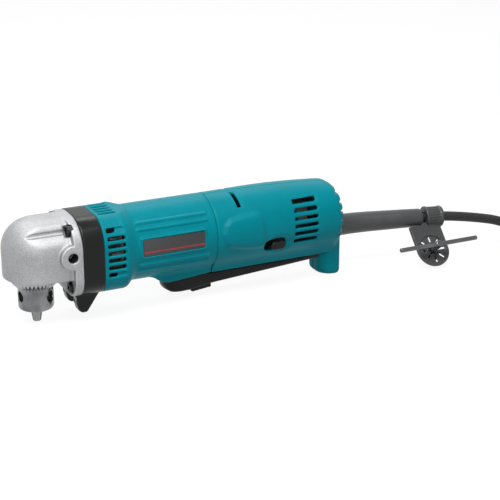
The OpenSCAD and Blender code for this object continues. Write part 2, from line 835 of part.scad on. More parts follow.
// armature shaft with the pinion cut on its front end
module armature_shaft() color("#9a9ca0") {
    along_x(spur_x, spur_width + overrun) translate([0, axis_z]) spur_outline(motor_teeth, spur_module);
    rod_x(spur_x + spur_width + overrun / 2,
        seam_x - tail_plate - spur_x - spur_width - overrun / 2, shaft_r, axis_z);
    rod_x(seam_x - tail_plate - overrun, tail_plate + overrun, tail_bore, axis_z);
}

// laminated core with winding slots
module armature_core() color("#6b6e73") difference() {
    rod_x(core_x, core_len, core_r, axis_z);
    rod_x(core_x - overrun, core_len + 2 * overrun, shaft_r, axis_z);
    for (i = [0 : core_slots - 1]) translate([core_x - overrun, 0, axis_z])
        rotate([360 * i / core_slots, 0, 0])
        translate([0, core_r - slot_depth, -slot_w / 2])
            cube([core_len + 2 * overrun, slot_depth + overrun, slot_w]);
}

// wound heads at both ends of the core
module armature_windings() color("#a5582c") for (x = [core_x - coil_head, core_x + core_len]) difference() {
    rod_x(x, coil_head, core_r - slot_depth / 2, axis_z);
    rod_x(x - overrun, coil_head + 2 * overrun, shaft_r, axis_z);
}

// copper commutator with its cut bars
module commutator() color("#b4703a") difference() {
    rod_x(commutator_x, commutator_len, commutator_r, axis_z);
    rod_x(commutator_x - overrun, commutator_len + 2 * overrun, shaft_r, axis_z);
    for (i = [0 : bars - 1]) translate([commutator_x - overrun, 0, axis_z]) rotate([360 * i / bars, 0, 0])
        translate([0, commutator_r - bar_depth, -bar_cut / 2])
            cube([commutator_len + 2 * overrun, bar_depth + overrun, bar_cut]);
}

// cooling fan beside the front vents
module fan() color("#2f3134") difference() {
    union() {
        rod_x(fan_x + fan_len - fan_plate, fan_plate, fan_r, axis_z);
        rod_x(fan_x, fan_len, shaft_r + wall, axis_z);
        for (i = [0 : fan_blades - 1]) translate([fan_x, 0, axis_z]) rotate([360 * i / fan_blades, 0, 0])
            translate([0, shaft_r + wall / 2, -blade_t / 2])
                cube([fan_len, fan_r - shaft_r - wall, blade_t]);
    }
    rod_x(fan_x - overrun, fan_len + 2 * overrun, shaft_r, axis_z);
}

module armature_bearing_front() color("#a9acb1")
    bearing_x(arm_bearing_x, axis_z, shaft_r + run_gap, arm_bearing_r, arm_bearing_len);

module armature_bearing_rear() color("#a9acb1")
    bearing_x(seam_x - tail_plate, axis_z, tail_bore + run_gap, tail_bearing_r, tail_plate);

// window for a field coil, on one side of the stator
module coil_window(side, spare, reach) {
    translate([core_x - reach, side * (coil_y_mid) - coil_t / 2 - spare, axis_z - coil_half - spare])
        cube([core_len + 2 * reach, coil_t + 2 * spare, 2 * (coil_half + spare)]);
}

// laminated stator
module stator() color("#77797d") difference() {
    rod_x(core_x, core_len, stator_r, axis_z);
    rod_x(core_x - overrun, core_len + 2 * overrun, stator_bore, axis_z);
    for (side = [-1, 1]) coil_window(side, seat_gap, overrun);
}

module field_coils() color("#b0622f") for (side = [-1, 1]) coil_window(side, 0, coil_head / 2);

// brass guides for the brushes
module brush_holders() color("#c09a4e") for (side = [-1, 1]) difference() {
    brush_block(side, commutator_r + overrun, holder_len, holder_wall);
    brush_block(side, commutator_r, holder_len + 2 * overrun, 0);
}

// a block that reaches out sideways from the commutator
module brush_block(side, start, length, spare) {
    translate([commutator_x + commutator_len / 2 - brush_w / 2 - spare, side < 0 ? -start - length : start,
        axis_z - brush_h / 2 - spare]) cube([brush_w + 2 * spare, length, brush_h + 2 * spare]);
}

module brushes() color("#2a2a2c") for (side = [-1, 1])
    brush_block(side, commutator_r + run_gap, brush_len, -seat_gap);

// springs behind the brushes, drawn as sleeves
module brush_springs() color("#8f9296") for (side = [-1, 1])
    translate([commutator_x + commutator_len / 2, 0, axis_z])
    rotate([side * -90, 0, 0]) difference() {
        cylinder_from(spring_low, spring_high, spring_r);
        cylinder_from(spring_low - overrun, spring_high + overrun, spring_r - spring_wire);
    }

// side outline of the handle with its round upper rear corner
module tail_profile(inset) {
    high = axis_z + motor_r + tail_lift;
    translate([seam_x - overrun, 0]) square([handle_len - tail_round + overrun, high + overrun]);
    translate([seam_x, 0]) square([handle_len - inset, high - tail_round]);
    translate([tail_x - tail_round, high - tail_round]) circle(r = tail_round - inset);
}

// plan of the handle with its round rear corners, wider than the barrel by a seat gap
module tail_plan(inset) {
    half = motor_r + seat_gap;
    translate([seam_x - overrun, -half]) square([handle_len - tail_corner + overrun, 2 * half]);
    translate([seam_x, tail_corner - half]) square([handle_len - inset, 2 * (half - tail_corner)]);
    for (side = [-1, 1]) translate([tail_x - tail_corner, side * (half - tail_corner)])
        circle(r = tail_corner - inset);
}

// the same plan as a block of the handle's height
module tail_block(inset) {
    translate([0, 0, -overrun]) linear_extrude(height = axis_z + 2 * motor_r) tail_plan(inset);
}

// block across the handle from one wall to the middle gap, used as a rib
module wall_rib(x, length, inner, low, high) {
    for (side = [-1, 1]) translate([x, side < 0 ? -motor_r : inner, low])
        cube([length, motor_r - inner, high - low]);
}

// solid of both handle halves before they are parted
module handle_body() difference() {
    union() {
        difference() {
            intersection() {
                along_x(seam_x, handle_len) handle_outline(0, 0);
                along_y(-collar_half, 2 * collar_half) tail_profile(0);
                tail_block(0);
            }
            intersection() {
                along_x(seam_x - overrun, handle_len) handle_outline(wall, overrun);
                along_y(-collar_half + overrun, 2 * (collar_half - overrun)) tail_profile(wall);
                tail_block(wall);
            }
        }
        intersection() {
            union() {
                wall_rib(switch_rib_x, rib_t, switch_half + seat_gap, switch_low + rib_t,
                    switch_low + switch_h);
                wall_rib(switch_rib_x + switch_rib_step, rib_t, switch_half + seat_gap, switch_low + rib_t,
                    switch_low + switch_h);
                wall_rib(control_x + rib_t, rib_t, control_half + seat_gap, control_low,
                    control_low + control_h);
                for (p = handle_screw_places) rod_y(p[0], -motor_r, p[1], 2 * motor_r, handle_boss_r);
            }
            along_x(seam_x, handle_len) handle_outline(overrun, -overrun);
            along_y(-collar_half, 2 * collar_half) tail_profile(overrun);
            tail_block(overrun);
        }
        translate([clamp_x, -skirt_half + overrun, skirt_low])
            cube([tail_x - clamp_x - wall / 2, 2 * (skirt_half - overrun), guard_z - skirt_low]);
        along_y(-foot_half, 2 * foot_half) {
            translate([foot_x, foot_round]) square([foot_len, skirt_low]);
            translate([foot_x + foot_round, 0]) square([foot_len - 2 * foot_round, skirt_low]);
            for (x = [foot_x + foot_round, foot_x + foot_len - foot_round]) translate([x, foot_round])
                circle(r = foot_round);
        }
    }
    translate([seam_x - overrun, -lever_half - move_gap, 0])
        cube([lever_rear - seam_x + 2 * overrun, 2 * (lever_half + move_gap), well_top]);
    rod_y(lever_pivot_x, -lever_pin_half, lever_pin_z, 2 * lever_pin_half, lever_pin_r);
    for (i = [0 : rear_vents - 1]) along_y(-collar_half, 2 * collar_half)
        translate([rear_vent_x, rear_vent_top - i * rear_vent_pitch]) slot(rear_vent_len, vent_h);
    for (i = [0 : comb_slots - 1]) for (side = [-1, 1])
        translate([tail_x - comb_depth, side < 0 ? -motor_r : guard_plate_r + wall,
            comb_low + i * comb_pitch])
            cube([comb_depth + overrun, motor_r - guard_plate_r - wall, comb_h]);
    for (i = [0 : comb_full - 1]) translate([tail_x - comb_depth, -motor_r, comb_full_low + i * comb_pitch])
        cube([comb_depth + overrun, 2 * motor_r, comb_h]);
    along_x(clamp_x - overrun, tail_x) translate([0, guard_z]) circle(r = cord_r + seat_gap);
    rod_x(tail_x - wall - guard_plate - overrun, guard_plate + overrun + seat_gap,
        guard_plate_r + seat_gap, guard_z);
    rod_x(tail_x - wall - overrun, wall + 2 * overrun, guard_root_r + seat_gap, guard_z);
    for (side = [-1, 1])
        translate([clamp_x + clamp_len / 2, side * clamp_screw_y, guard_z - clamp_screw_len])
        cylinder(h = clamp_screw_len + overrun, r = strain_screw_r);
    for (p = handle_screw_places) {
        rod_y(p[0], -screw_reach, p[1], 2 * screw_reach, handle_screw_r);
        rod_y(p[0], screw_seat, p[1], motor_r, handle_screw_head + seat_gap);
    }
}

// near half, with the pocket of the reversing button
module handle_left() color("#12788a") difference() {
    intersection() {
        handle_body();
        translate([seam_x, -collar_half, -overrun])
            cube([handle_len, collar_half, axis_z + motor_r + 2 * overrun]);
    }
    translate([button_x - button_len / 2 - button_travel - move_gap, -collar_half,
        button_z - button_h / 2 - move_gap])
        cube([pocket_len, collar_half - switch_half - overrun, button_h + 2 * move_gap]);
}

// far half, which the screws enter
module handle_right() color("#12788a") intersection() {
    handle_body();
    translate([seam_x, 0, -overrun]) cube([handle_len, collar_half, axis_z + motor_r + 2 * overrun]);
}

module handle_screws() color("#3a3c3f") for (p = handle_screw_places) difference() {
    union() {
        rod_y(p[0], -screw_reach + overrun, p[1], screw_reach + screw_seat - overrun,
            handle_screw_r - seat_gap);
        rod_y(p[0], screw_seat, p[1], handle_screw_h, handle_screw_head);
    }
    rod_y(p[0], screw_seat + handle_screw_h / 2, p[1], handle_screw_h, socket_r, $fn = 6);
}

// sliding button that reverses the motor
module reverse_button() color("#1d1d1f")
    translate([button_x - button_len / 2, -button_face, button_z - button_h / 2]) {
    cube([button_len, button_face - switch_half - 2 * overrun, button_h]);
    for (i = [0 : grip_ribs - 1]) translate([button_len * (i + 0.5) / grip_ribs, -grip_rib_h, 0])
        cube([grip_rib_h, 2 * grip_rib_h, button_h]);
}

// trigger switch
module switch() color("#242528") difference() {
    translate([switch_x, -switch_half, switch_low]) cube([switch_len, 2 * switch_half, switch_h]);
    translate([plunger_x, 0, switch_low - overrun])
        cylinder(h = plunger_bore + overrun, r = plunger_r + run_gap);
}

module switch_plunger() color("#b23a32") cylinder_at(plunger_x, lever_top + move_gap - seat_gap,
    switch_low + plunger_bore - plunger_spare, plunger_r);

// an upright bar at a place along the tool
module cylinder_at(x, low, high, r) {
    translate([x, 0, 0]) cylinder_from(low, high, r);
}

module speed_control() color("#8a8c90") translate([control_x, -control_half, control_low])
    cube([control_len, 2 * control_half, control_h]);

// side outline of the lever, raised by the given wall
module lever_outline(lift) {
    polygon([[lever_front, lever_top], [lever_ear_x, lever_top], [lever_ear_x, lever_ear_top],
        [lever_rear, lever_ear_top], [lever_rear, lever_rear_low + lift],
        [lever_bend_x + lever_bend_len, lever_bend_low + lift], [lever_bend_x, lever_low + lift],
        [lever_front + lever_nose, lever_low + lift], [lever_front, lever_nose_high + lift]]);
}

// paddle lever under the handle
module lever() color("#1d1d1f") {
    lever_shell();
    translate([plunger_x - lever_rib_half, -lever_half + lever_wall / 2, lever_rear_low])
        cube([2 * lever_rib_half, 2 * lever_half - lever_wall, lever_top - lever_rear_low]);
}

// hollow shell of the lever
module lever_shell() difference() {
    intersection() {
        along_y(-lever_half, 2 * lever_half) lever_outline(0);
        linear_extrude(height = axis_z) {
            translate([lever_front + lever_half, 0]) circle(r = lever_half);
            translate([lever_front + lever_half, -lever_half])
                square([lever_rear - lever_front - lever_half, 2 * lever_half]);
        }
    }
    intersection() {
        along_y(-lever_half + lever_wall, 2 * (lever_half - lever_wall)) lever_outline(lever_wall);
        translate([lever_front + lever_half / 2, -lever_half, 0])
            cube([lever_ear_x - lever_front - lever_half, 2 * lever_half, axis_z]);
        translate([0, -lever_half, lever_low]) cube([lever_rear, 2 * lever_half, axis_z]);
    }
    translate([lever_front + lever_half / 2, -lever_half + lever_wall, lever_top - lever_wall])
        cube([lever_ear_x - lever_front - lever_half, 2 * (lever_half - lever_wall), wall * 2]);
    rod_y(lever_pivot_x, -collar_half, lever_pin_z, 2 * collar_half, lever_pin_r + run_gap);
    lock_frame() translate([lock_slot_x, -lock_stem_half - move_gap, -overrun])
        cube([lock_slot_len, 2 * (lock_stem_half + move_gap), lever_wall + 2 * overrun]);
}

module lever_pin() color("#8f9296")
    rod_y(lever_pivot_x, -lever_pin_half, lever_pin_z, 2 * lever_pin_half, lever_pin_r);

// return spring between the lever and the switch
module lever_spring() color("#8f9296") {
    count = lever_spring_turns * 8;
    path = [for (i = [0 : count])
        [lever_spring_x + lever_spring_r * cos(45 * i), lever_spring_r * sin(45 * i),
        lever_spring_low + (lever_spring_high - lever_spring_low) * i / count]];
    tube(path, [for (i = [0 : count]) spring_wire], 6);
}

// frame that lies along the sloping lower face of the lever
module lock_frame() {
    translate([lever_bend_x, 0, lever_low])
        rotate([0, -atan2(lever_bend_low - lever_low, lever_bend_len), 0]) children();
}

// sliding lock under the lever
module lock_button() color("#1d1d1f") lock_frame() {
    translate([lock_x, -lock_half, -lock_drop]) cube([lock_len, 2 * lock_half, lock_drop - seat_gap]);
    translate([lock_stem_x, -lock_stem_half, -lock_drop]) cube([lock_stem_len, 2 * lock_stem_half,
        lock_drop + lever_wall]);
    for (i = [0 : grip_ribs - 1]) translate([lock_x + lock_len * (i + 0.5) / grip_ribs, -lock_half,
        -lock_drop - grip_rib_h]) cube([grip_rib_h, 2 * lock_half, 2 * grip_rib_h]);
}

// bridge that holds the cord down inside the handle
module strain_clamp() color("#2a2b2e") difference() {
    translate([clamp_x, -clamp_half, guard_z + seat_gap]) cube([clamp_len, 2 * clamp_half, clamp_h]);
    rod_x(clamp_x - overrun, clamp_len + 2 * overrun, cord_r + seat_gap, guard_z);
    for (side = [-1, 1]) translate([clamp_x + clamp_len / 2, side * clamp_screw_y, guard_z])
        cylinder(h = clamp_h + 2 * overrun, r = strain_screw_r);
}

module strain_screws() color("#8f9296") for (side = [-1, 1])
    translate([clamp_x + clamp_len / 2, side * clamp_screw_y, 0]) {
        cylinder_from(guard_z - clamp_screw_len + overrun, clamp_top, strain_screw_r - seat_gap);
        cylinder_from(clamp_top, clamp_top + strain_head_h, strain_head_r);
    }

// rubber guard round the cord, with its plate inside the handle
module cord_guard() color("#1f2022") {
    rod_x(tail_x - wall - guard_plate, guard_plate, guard_plate_r, guard_z);
    last = len(guard_route) - 1;
    tube(guard_route,
        [for (i = [0 : last]) guard_root_r + (guard_tip_r - guard_root_r) * i / last], 2 * sides);
}

module cord() color("#232427") {
    rod_x(lead_x, tail_x - wall - guard_plate - lead_x, cord_r, guard_z);
    tube(cord_route, [for (p = cord_route) cord_r], sides);
}

// points of the stored coil: in on the lowest layer, out on the next, in on the top one,
// then up to the plug
function coil_fold(a) = let (k = floor(a / coil_turn), b = a - k * coil_turn)
    k % 2 == 0 ? b : coil_turn - b;
function coil_radius(a) = coil_outer - coil_pitch * coil_fold(a) / 360;
function coil_climb(a, k) = min(1, max(0, (a - k * coil_turn) / climb_turn + 0.5));
function coil_rise(a) = coil_pitch * (coil_climb(a, 1) + coil_climb(a, 2))
    + (coil_pitch + overrun) * coil_climb(a, 3);
function coil_point(a) = [coil_x + coil_radius(a) * cos(coil_start + a),
    coil_y + coil_radius(a) * sin(coil_start + a), coil_low + coil_rise(a)];
coil_steps = round(coil_span * coil_rings / 360);
coil_turns = [for (i = [0 : coil_steps]) coil_point(coil_span * i / coil_steps)];
coil_path = concat([route_end], coil_turns, [coil_turns[coil_steps] + [cord_d, 0, 0]]);
coil_clear = min([for (i = [0 : coil_steps]) for (j = [i + coil_rings / 2 : coil_steps])
    norm(coil_turns[i] - coil_turns[j])]) - cord_d;
echo(coil_clear = coil_clear);

module cord_coil() color("#232427") tube(coil_path, [for (p = coil_path) cord_r], coil_sides);

// strap round the turns on the far side of the coil
module coil_tie() color("#151517")
    translate([coil_x + tie_in, coil_y - tie_w - overrun, coil_low - cord_r - coil_gap / 2])
    difference() {
        translate([-tie_t, 0, -tie_t]) cube([tie_span + 2 * tie_t, tie_w, tie_rise + 2 * tie_t]);
        translate([0, -overrun, 0]) cube([tie_span, tie_w + 2 * overrun, tie_rise]);
    }

// plug that lies on the coil
module plug_frame() {
    translate([plug_x, coil_y - coil_radius(coil_span), coil_low + coil_rise(coil_span)]) children();
}

module plug() color("#1f2022") plug_frame() {
    rotate([0, 90, 0]) cylinder(h = plug_neck, r = plug_neck_r);
    translate([plug_neck - overrun, -plug_half, -plug_neck_r]) cube([plug_len, 2 * plug_half, plug_h]);
}

module plug_pins() color("#b9bcc0") plug_frame() for (side = [-1, 1])
    rod_x_at(plug_neck - overrun + plug_len, pin_len, pin_r, side * pin_gap / 2, plug_h / 2 - plug_neck_r);

// frame of the key holder: the tab reaches along the local minus Y
module holder_frame() {
    translate([holder_x + tab_shift, holder_y, holder_z]) rotate([tab_fall, 0, 0]) children();
}

// rubber ring on the cord with a slit tab for the key
module key_holder() color("#202124") difference() {
    union() {
        translate([holder_x, holder_y, holder_z]) rotate([0, holder_pitch, holder_yaw]) rotate([0, 90, 0])
            cylinder(h = holder_ring_len, r = holder_ring_r, center = true);
        holder_frame() translate([0, 0, -tab_t / 2]) linear_extrude(height = tab_t) {
            translate([0, -tab_reach]) circle(r = tab_half);
            translate([-tab_half, -tab_reach]) square([2 * tab_half, tab_reach - guard_tip_r - move_gap]);
        }
    }
    translate([holder_x, holder_y, holder_z]) rotate([0, holder_pitch, holder_yaw]) rotate([0, 90, 0])
        cylinder(h = 2 * holder_ring_len, r = cord_r + move_gap, center = true);
    holder_frame() translate([0, -tab_reach, -tab_t]) {
        cylinder(h = 2 * tab_t, r = key_shank_r + seat_gap);
        for (i = [0 : tab_slits - 1]) rotate([0, 0, 360 * i / tab_slits])
            translate([0, -tab_slit_w / 2, 0]) cube([tab_slit_r, tab_slit_w, 2 * tab_t]);
    }
}

// chuck key with its toothed end below the tab
module chuck_key() color("#85888d") holder_frame() translate([0, -tab_reach, 0]) {
    cylinder_from(-key_gear_low, key_bar_rise, key_shank_r);
    rod_x(-key_bar_half, 2 * key_bar_half, key_bar_r, key_bar_rise);
    cylinder_from(-key_gear_low - key_gear_len - key_pilot_len, -key_gear_low, key_pilot_r);
    difference() {
        cylinder_from(-key_gear_low - key_gear_len, -key_gear_low, key_gear_r);
        for (i = [0 : key_teeth - 1]) rotate([0, 0, 360 * i / key_teeth])
            translate([key_gear_r, 0, -key_gear_low - key_gear_len]) rotate([0, 45, 0])
                cube([key_gear_len, key_tooth_gap, key_gear_len], center = true);
    }
}

gear_housing();
head_screws();
spindle();
bevel_gear();
spindle_bearing();
spindle_bush();
chuck_sleeve();
jaw_1();
jaw_2();
jaw_3();
pinion_shaft();
spur_wheel();
pinion_bearing_front();
pinion_bearing_rear();
lamp_collar();
lamp_lenses();
motor_housing();
name_plate();
armature_shaft();
armature_core();
armature_windings();
commutator();
fan();
armature_bearing_front();
armature_bearing_rear();
stator();
field_coils();
brush_holders();
brushes();
brush_springs();
handle_left();
handle_right();
handle_screws();
reverse_button();
switch();
switch_plunger();
speed_control();
lever();
lever_pin();
lever_spring();
lock_button();
strain_clamp();
strain_screws();
cord_guard();
cord();
cord_coil();
coil_tie();
plug();
plug_pins();
key_holder();
chuck_key();
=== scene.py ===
import math

import bmesh
import bpy
import numpy as np
from mathutils import Matrix, Vector


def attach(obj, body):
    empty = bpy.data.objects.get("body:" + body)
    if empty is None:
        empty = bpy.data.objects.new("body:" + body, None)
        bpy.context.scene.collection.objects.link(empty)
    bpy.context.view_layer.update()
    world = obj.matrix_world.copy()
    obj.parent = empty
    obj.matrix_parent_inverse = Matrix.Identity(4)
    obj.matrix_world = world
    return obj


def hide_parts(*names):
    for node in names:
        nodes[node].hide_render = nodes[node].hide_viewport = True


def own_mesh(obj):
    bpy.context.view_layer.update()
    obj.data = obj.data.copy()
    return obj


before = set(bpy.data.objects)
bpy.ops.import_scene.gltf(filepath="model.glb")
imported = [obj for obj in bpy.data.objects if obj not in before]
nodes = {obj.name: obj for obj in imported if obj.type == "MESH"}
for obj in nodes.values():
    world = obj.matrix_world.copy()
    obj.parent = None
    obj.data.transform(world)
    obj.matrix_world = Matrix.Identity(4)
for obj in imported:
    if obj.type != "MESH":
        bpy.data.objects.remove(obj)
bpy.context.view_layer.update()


# Camera: a plain long-lens product view from the front left of the tool,
# 20 degrees above the table.
def place_object(name, data):
    thing = bpy.data.objects.new(name, data)
    bpy.context.scene.collection.objects.link(thing)
    return thing


view_place = Vector((-0.2699, -0.8952, 0.3881))
view_line = Vector((0.41197, 0.84455, -0.34202))
view_up = Vector((0.14993, 0.30741, 0.93969))
view_side = view_line.cross(view_up)
camera = place_object("camera", bpy.data.cameras.new("camera"))
camera.data.lens = 102.24
camera.data.sensor_width = 36
camera.data.clip_end = 20
view_axes = Matrix((view_side, view_up, -view_line)).transposed().to_4x4()
camera.matrix_world = Matrix.Translation(view_place) @ view_axes
bpy.context.scene.camera = camera
bpy.context.scene.view_settings.view_transform = "Standard"


# Studio: a pale table top under three soft boxes, one high in front, a broad fill behind
# the camera and a long strip behind the tool for the rim of light on top.
def shader(name):
    material = bpy.data.materials.new(name)
    material.use_nodes = True
    tree = material.node_tree
    tree.nodes.clear()
    return material, tree


def wire(tree, kind, links=None, **values):
    node = tree.nodes.new(kind)
    for key, value in values.items():
        setattr(node, key, value)
    for key, source in (links or {}).items():
        socket = node.inputs[key]
        if isinstance(source, bpy.types.NodeSocket):
            tree.links.new(source, socket)
        else:
            socket.default_value = source
    return node


def seen_directly(tree):
    path = wire(tree, "ShaderNodeLightPath")
    seen = path.outputs["Is Camera Ray"]
    for ray in ("Is Glossy Ray", "Is Transmission Ray"):
        seen = wire(tree, "ShaderNodeMath", {0: seen, 1: path.outputs[ray]}, operation="MAXIMUM").outputs[0]
    return seen


def mixed_shader(tree, share, first, second):
    return wire(tree, "ShaderNodeMixShader", {0: share, 1: first.outputs[0], 2: second.outputs[0]})


white = (1, 1, 1, 1)
table_half = 6
table_drop = 0.0002
world = bpy.data.worlds.new("studio")
bpy.context.scene.world = world
world.use_nodes = True
tree = world.node_tree
tree.nodes.clear()
room = wire(tree, "ShaderNodeBackground", {"Color": white, "Strength": 0.2})
paper = wire(tree, "ShaderNodeBackground", {"Color": white, "Strength": 1})
sky = mixed_shader(tree, seen_directly(tree), room, paper)
wire(tree, "ShaderNodeOutputWorld", {"Surface": sky.outputs[0]})
table_top, tree = shader("table top")
cloth = wire(tree, "ShaderNodeBsdfDiffuse", {"Color": (0.45, 0.45, 0.45, 1)})
glow = wire(tree, "ShaderNodeEmission", {"Color": white, "Strength": 1.3})
pale_cloth = mixed_shader(tree, 0.7, cloth, glow)
table_look = mixed_shader(tree, seen_directly(tree), cloth, pale_cloth)
wire(tree, "ShaderNodeOutputMaterial", {"Surface": table_look.outputs[0]})
table_corners = [(a * table_half, b * table_half, -table_drop)
                 for a, b in ((-1, -1), (1, -1), (1, 1), (-1, 1))]
table_mesh = bpy.data.meshes.new("table")
table_mesh.from_pydata(table_corners, [], [(0, 1, 2, 3)])
table_mesh.materials.append(table_top)
table = place_object("table", table_mesh)


def soft_box(name, place, aim, width, height, power):
    lamp = bpy.data.lights.new(name, "AREA")
    lamp.shape = "RECTANGLE"
    lamp.size = width
    lamp.size_y = height
    lamp.energy = power
    box = place_object(name, lamp)
    box.location = place
    box.rotation_euler = (Vector(aim) - Vector(place)).to_track_quat("-Z", "Y").to_euler()


soft_box("key light", place=(-0.1, -0.42, 1.1), aim=(0.12, 0, 0.04), width=0.7, height=0.5, power=13)
soft_box("fill light", place=(-0.5, -1.2, 0.5), aim=(0.1, 0, 0.04), width=0.9, height=0.7, power=3.8)
soft_box("rim light", place=(0.1, 0.75, 1), aim=(0.12, 0, 0.06), width=1.2, height=0.4, power=6)


# Supply cord: round two-core flex in matt black rubber, 7.5 mm thick. It leaves the bend guard,
# droops to the table and is wound in three flat layers; its end lies on top and enters the plug.
def smooth_line(points, steps):
    points = np.array(points, float)
    ends = np.vstack([2 * points[0] - points[1], points, 2 * points[-1] - points[-2]])
    line = []
    for i in range(1, len(ends) - 2):
        for t in np.arange(steps) / steps:
            a, b, c, d = ends[i - 1:i + 3]
            line.append(0.5 * (2 * b + (c - a) * t + (2 * a - 5 * b + 4 * c - d) * t ** 2
                               + (3 * b - a - 3 * c + d) * t ** 3))
    return np.vstack([line, points[-1]])


cord_thick = 0.0075
cord_exit = (0.309, -0.011, 0.0335)
cord_fall = smooth_line([
    cord_exit, (0.323, -0.013, 0.033), (0.333, -0.014, 0.032), (0.345, -0.0145, 0.030),
    (0.357, -0.0145, 0.0275), (0.370, -0.014, 0.0243), (0.378, -0.0142, 0.022), (0.387, -0.0159, 0.0188),
    (0.398, -0.0213, 0.0144), (0.407, -0.0298, 0.0108), (0.419, -0.0423, 0.0076), (0.4333, -0.0523, 0.0061),
    (0.447, -0.0574, 0.0056), (0.454, -0.05895, 0.0056), (0.4591, -0.0595, 0.0056)], 5)
coil_floor = 0.0056
coil_step = 0.0084
coil_wide = 0.052
coil_middle = (0.4666, -0.0075)
coil_turn = 900
coil_knots = 577
climb_turn = 180
climbs = (coil_step, coil_step, coil_step + 0.001)
plug_lead = 0.0075
coil_line = []
for angle in np.linspace(0, len(climbs) * coil_turn + climb_turn, coil_knots):
    layer, inward = divmod(angle, coil_turn)
    radius = coil_wide - coil_step * (coil_turn - inward if layer % 2 else inward) / 360
    height = coil_floor + sum(step * min(max((angle - (k + 1) * coil_turn) / climb_turn + 0.5, 0), 1)
                              for k, step in enumerate(climbs))
    turn = math.radians(angle - 90)
    coil_line.append((coil_middle[0] + radius * math.cos(turn),
                      coil_middle[1] + radius * math.sin(turn), height))
cord_end = coil_line[-1]
cord_line = np.vstack([cord_fall, coil_line, [(cord_end[0] + plug_lead, cord_end[1], cord_end[2])]])
cord_curve = bpy.data.curves.new("supply cord", "CURVE")
cord_curve.dimensions = "3D"
cord_curve.bevel_depth = cord_thick / 2
cord_curve.bevel_resolution = 5
cord_curve.use_fill_caps = True
strand = cord_curve.splines.new("POLY")
strand.points.add(len(cord_line) - 1)
for knot, place in zip(strand.points, cord_line):
    knot.co = (*place, 1)
strand.use_smooth = True
supply_cord = place_object("supply_cord", cord_curve)


def add_sockets(tree, way, **kinds):
    return {label: tree.interface.new_socket(label, in_out=way, socket_type="NodeSocket" + kind)
            for label, kind in kinds.items()}


def grain_group():
    group = bpy.data.node_groups.new("surface grain", "ShaderNodeTree")
    add_sockets(group, "INPUT", Fineness="Float", Depth="Float", Stretch="Vector")
    add_sockets(group, "OUTPUT", Cloud="Float", Speck="Float", Normal="Vector")
    given = wire(group, "NodeGroupInput").outputs
    place = wire(group, "ShaderNodeTexCoord").outputs["Object"]
    pulled = wire(group, "ShaderNodeVectorMath", {0: place, 1: given["Stretch"]}, operation="MULTIPLY")
    fine = wire(group, "ShaderNodeTexNoise", {
        "Vector": pulled.outputs[0], "Scale": given["Fineness"], "Detail": 3, "Roughness": 0.6})
    broad = wire(group, "ShaderNodeTexNoise", {"Vector": place, "Scale": 55, "Detail": 4})
    relief = wire(group, "ShaderNodeBump", {
        "Strength": 1, "Distance": given["Depth"], "Height": fine.outputs[0]})
    wire(group, "NodeGroupOutput", {
        "Cloud": broad.outputs[0], "Speck": fine.outputs[0], "Normal": relief.outputs[0]})
    return group


surface_grain = grain_group()


def grain_of(tree, fineness, depth, stretch=(1, 1, 1)):
    settings = {"Fineness": fineness, "Depth": depth, "Stretch": stretch}
    return wire(tree, "ShaderNodeGroup", settings, node_tree=surface_grain).outputs


def two_tone(tree, share, dark, pale, dark_below=0, pale_above=1):
    ramp = wire(tree, "ShaderNodeValToRGB", {0: share})
    for stop, place, colour in zip(ramp.color_ramp.elements, (dark_below, pale_above), (dark, pale)):
        stop.position = place
        stop.color = (*colour, 1)
    return ramp.outputs[0]


def map_range(tree, source, low, high, to_low, to_high):
    return wire(tree, "ShaderNodeMapRange", {0: source, 1: low, 2: high, 3: to_low, 4: to_high}).outputs[0]


def mixed_colour(tree, share, below, over):
    return wire(tree, "ShaderNodeMix", {0: share, 6: below, 7: (*over, 1)}, data_type="RGBA").outputs[2]


def shine(tree, looks):
    body = wire(tree, "ShaderNodeBsdfPrincipled", looks)
    wire(tree, "ShaderNodeOutputMaterial", {"Surface": body.outputs[0]})


def finish_of(name, dark, pale, rough, metal=0, fineness=2200, depth=0.00006, stretch=(1, 1, 1),
              speck=0.35, wear_and_edge_highlight=None, gloss=0.5):
    material, tree = shader(name)
    grain = grain_of(tree, fineness, depth, stretch)
    blend = wire(tree, "ShaderNodeMix", {0: speck, 2: grain["Cloud"], 3: grain["Speck"]}).outputs[0]
    colour = two_tone(tree, blend, dark, pale, dark_below=0.32, pale_above=0.68)
    # Convex edges, found by pointiness, are mixed towards the paler edge colour: partly edge wear, partly a
    # painted highlight along the rims.
    if wear_and_edge_highlight:
        shape = wire(tree, "ShaderNodeNewGeometry")
        edge = map_range(tree, shape.outputs["Pointiness"], low=0.52, high=0.60, to_low=0, to_high=0.7)
        colour = mixed_colour(tree, edge, colour, wear_and_edge_highlight)
    dull = map_range(tree, blend, low=0.3, high=0.7, to_low=rough - 0.05, to_high=rough + 0.06)
    shine(tree, {"Base Color": colour, "Roughness": dull, "Metallic": metal,
                 "Specular IOR Level": gloss, "Normal": grain["Normal"]})
    return material


rubber = finish_of(
    "black rubber", (0.013, 0.0135, 0.014), (0.024, 0.0245, 0.026), 0.55, fineness=1500, depth=0.00004,
    gloss=0.3)
cord_curve.materials.append(rubber)
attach(supply_cord, "housing")
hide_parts("cord", "cord_coil")


# Gear housing: one aluminium die casting, shot blasted to a fine satin speckle. It carries the spindle
# bearing and bush, has a tapped boss for a handle on each side and bolts to the collar by its flange.
def union(field, *others):
    for other in others:
        field = np.minimum(field, other)
    return field


def overlap(field, *others):
    for other in others:
        field = np.maximum(field, other)
    return field


def round_join(a, b, r):
    return np.maximum(r, np.minimum(a, b)) - np.hypot(np.maximum(r - a, 0), np.maximum(r - b, 0))


def round_meet(a, b, r):
    return np.minimum(-r, np.maximum(a, b)) + np.hypot(np.maximum(r + a, 0), np.maximum(r + b, 0))


def round_cut(a, b, r):
    return round_meet(a, -b, r)


def slab(v, low, high):
    return np.abs(v - (low + high) / 2) - (high - low) / 2


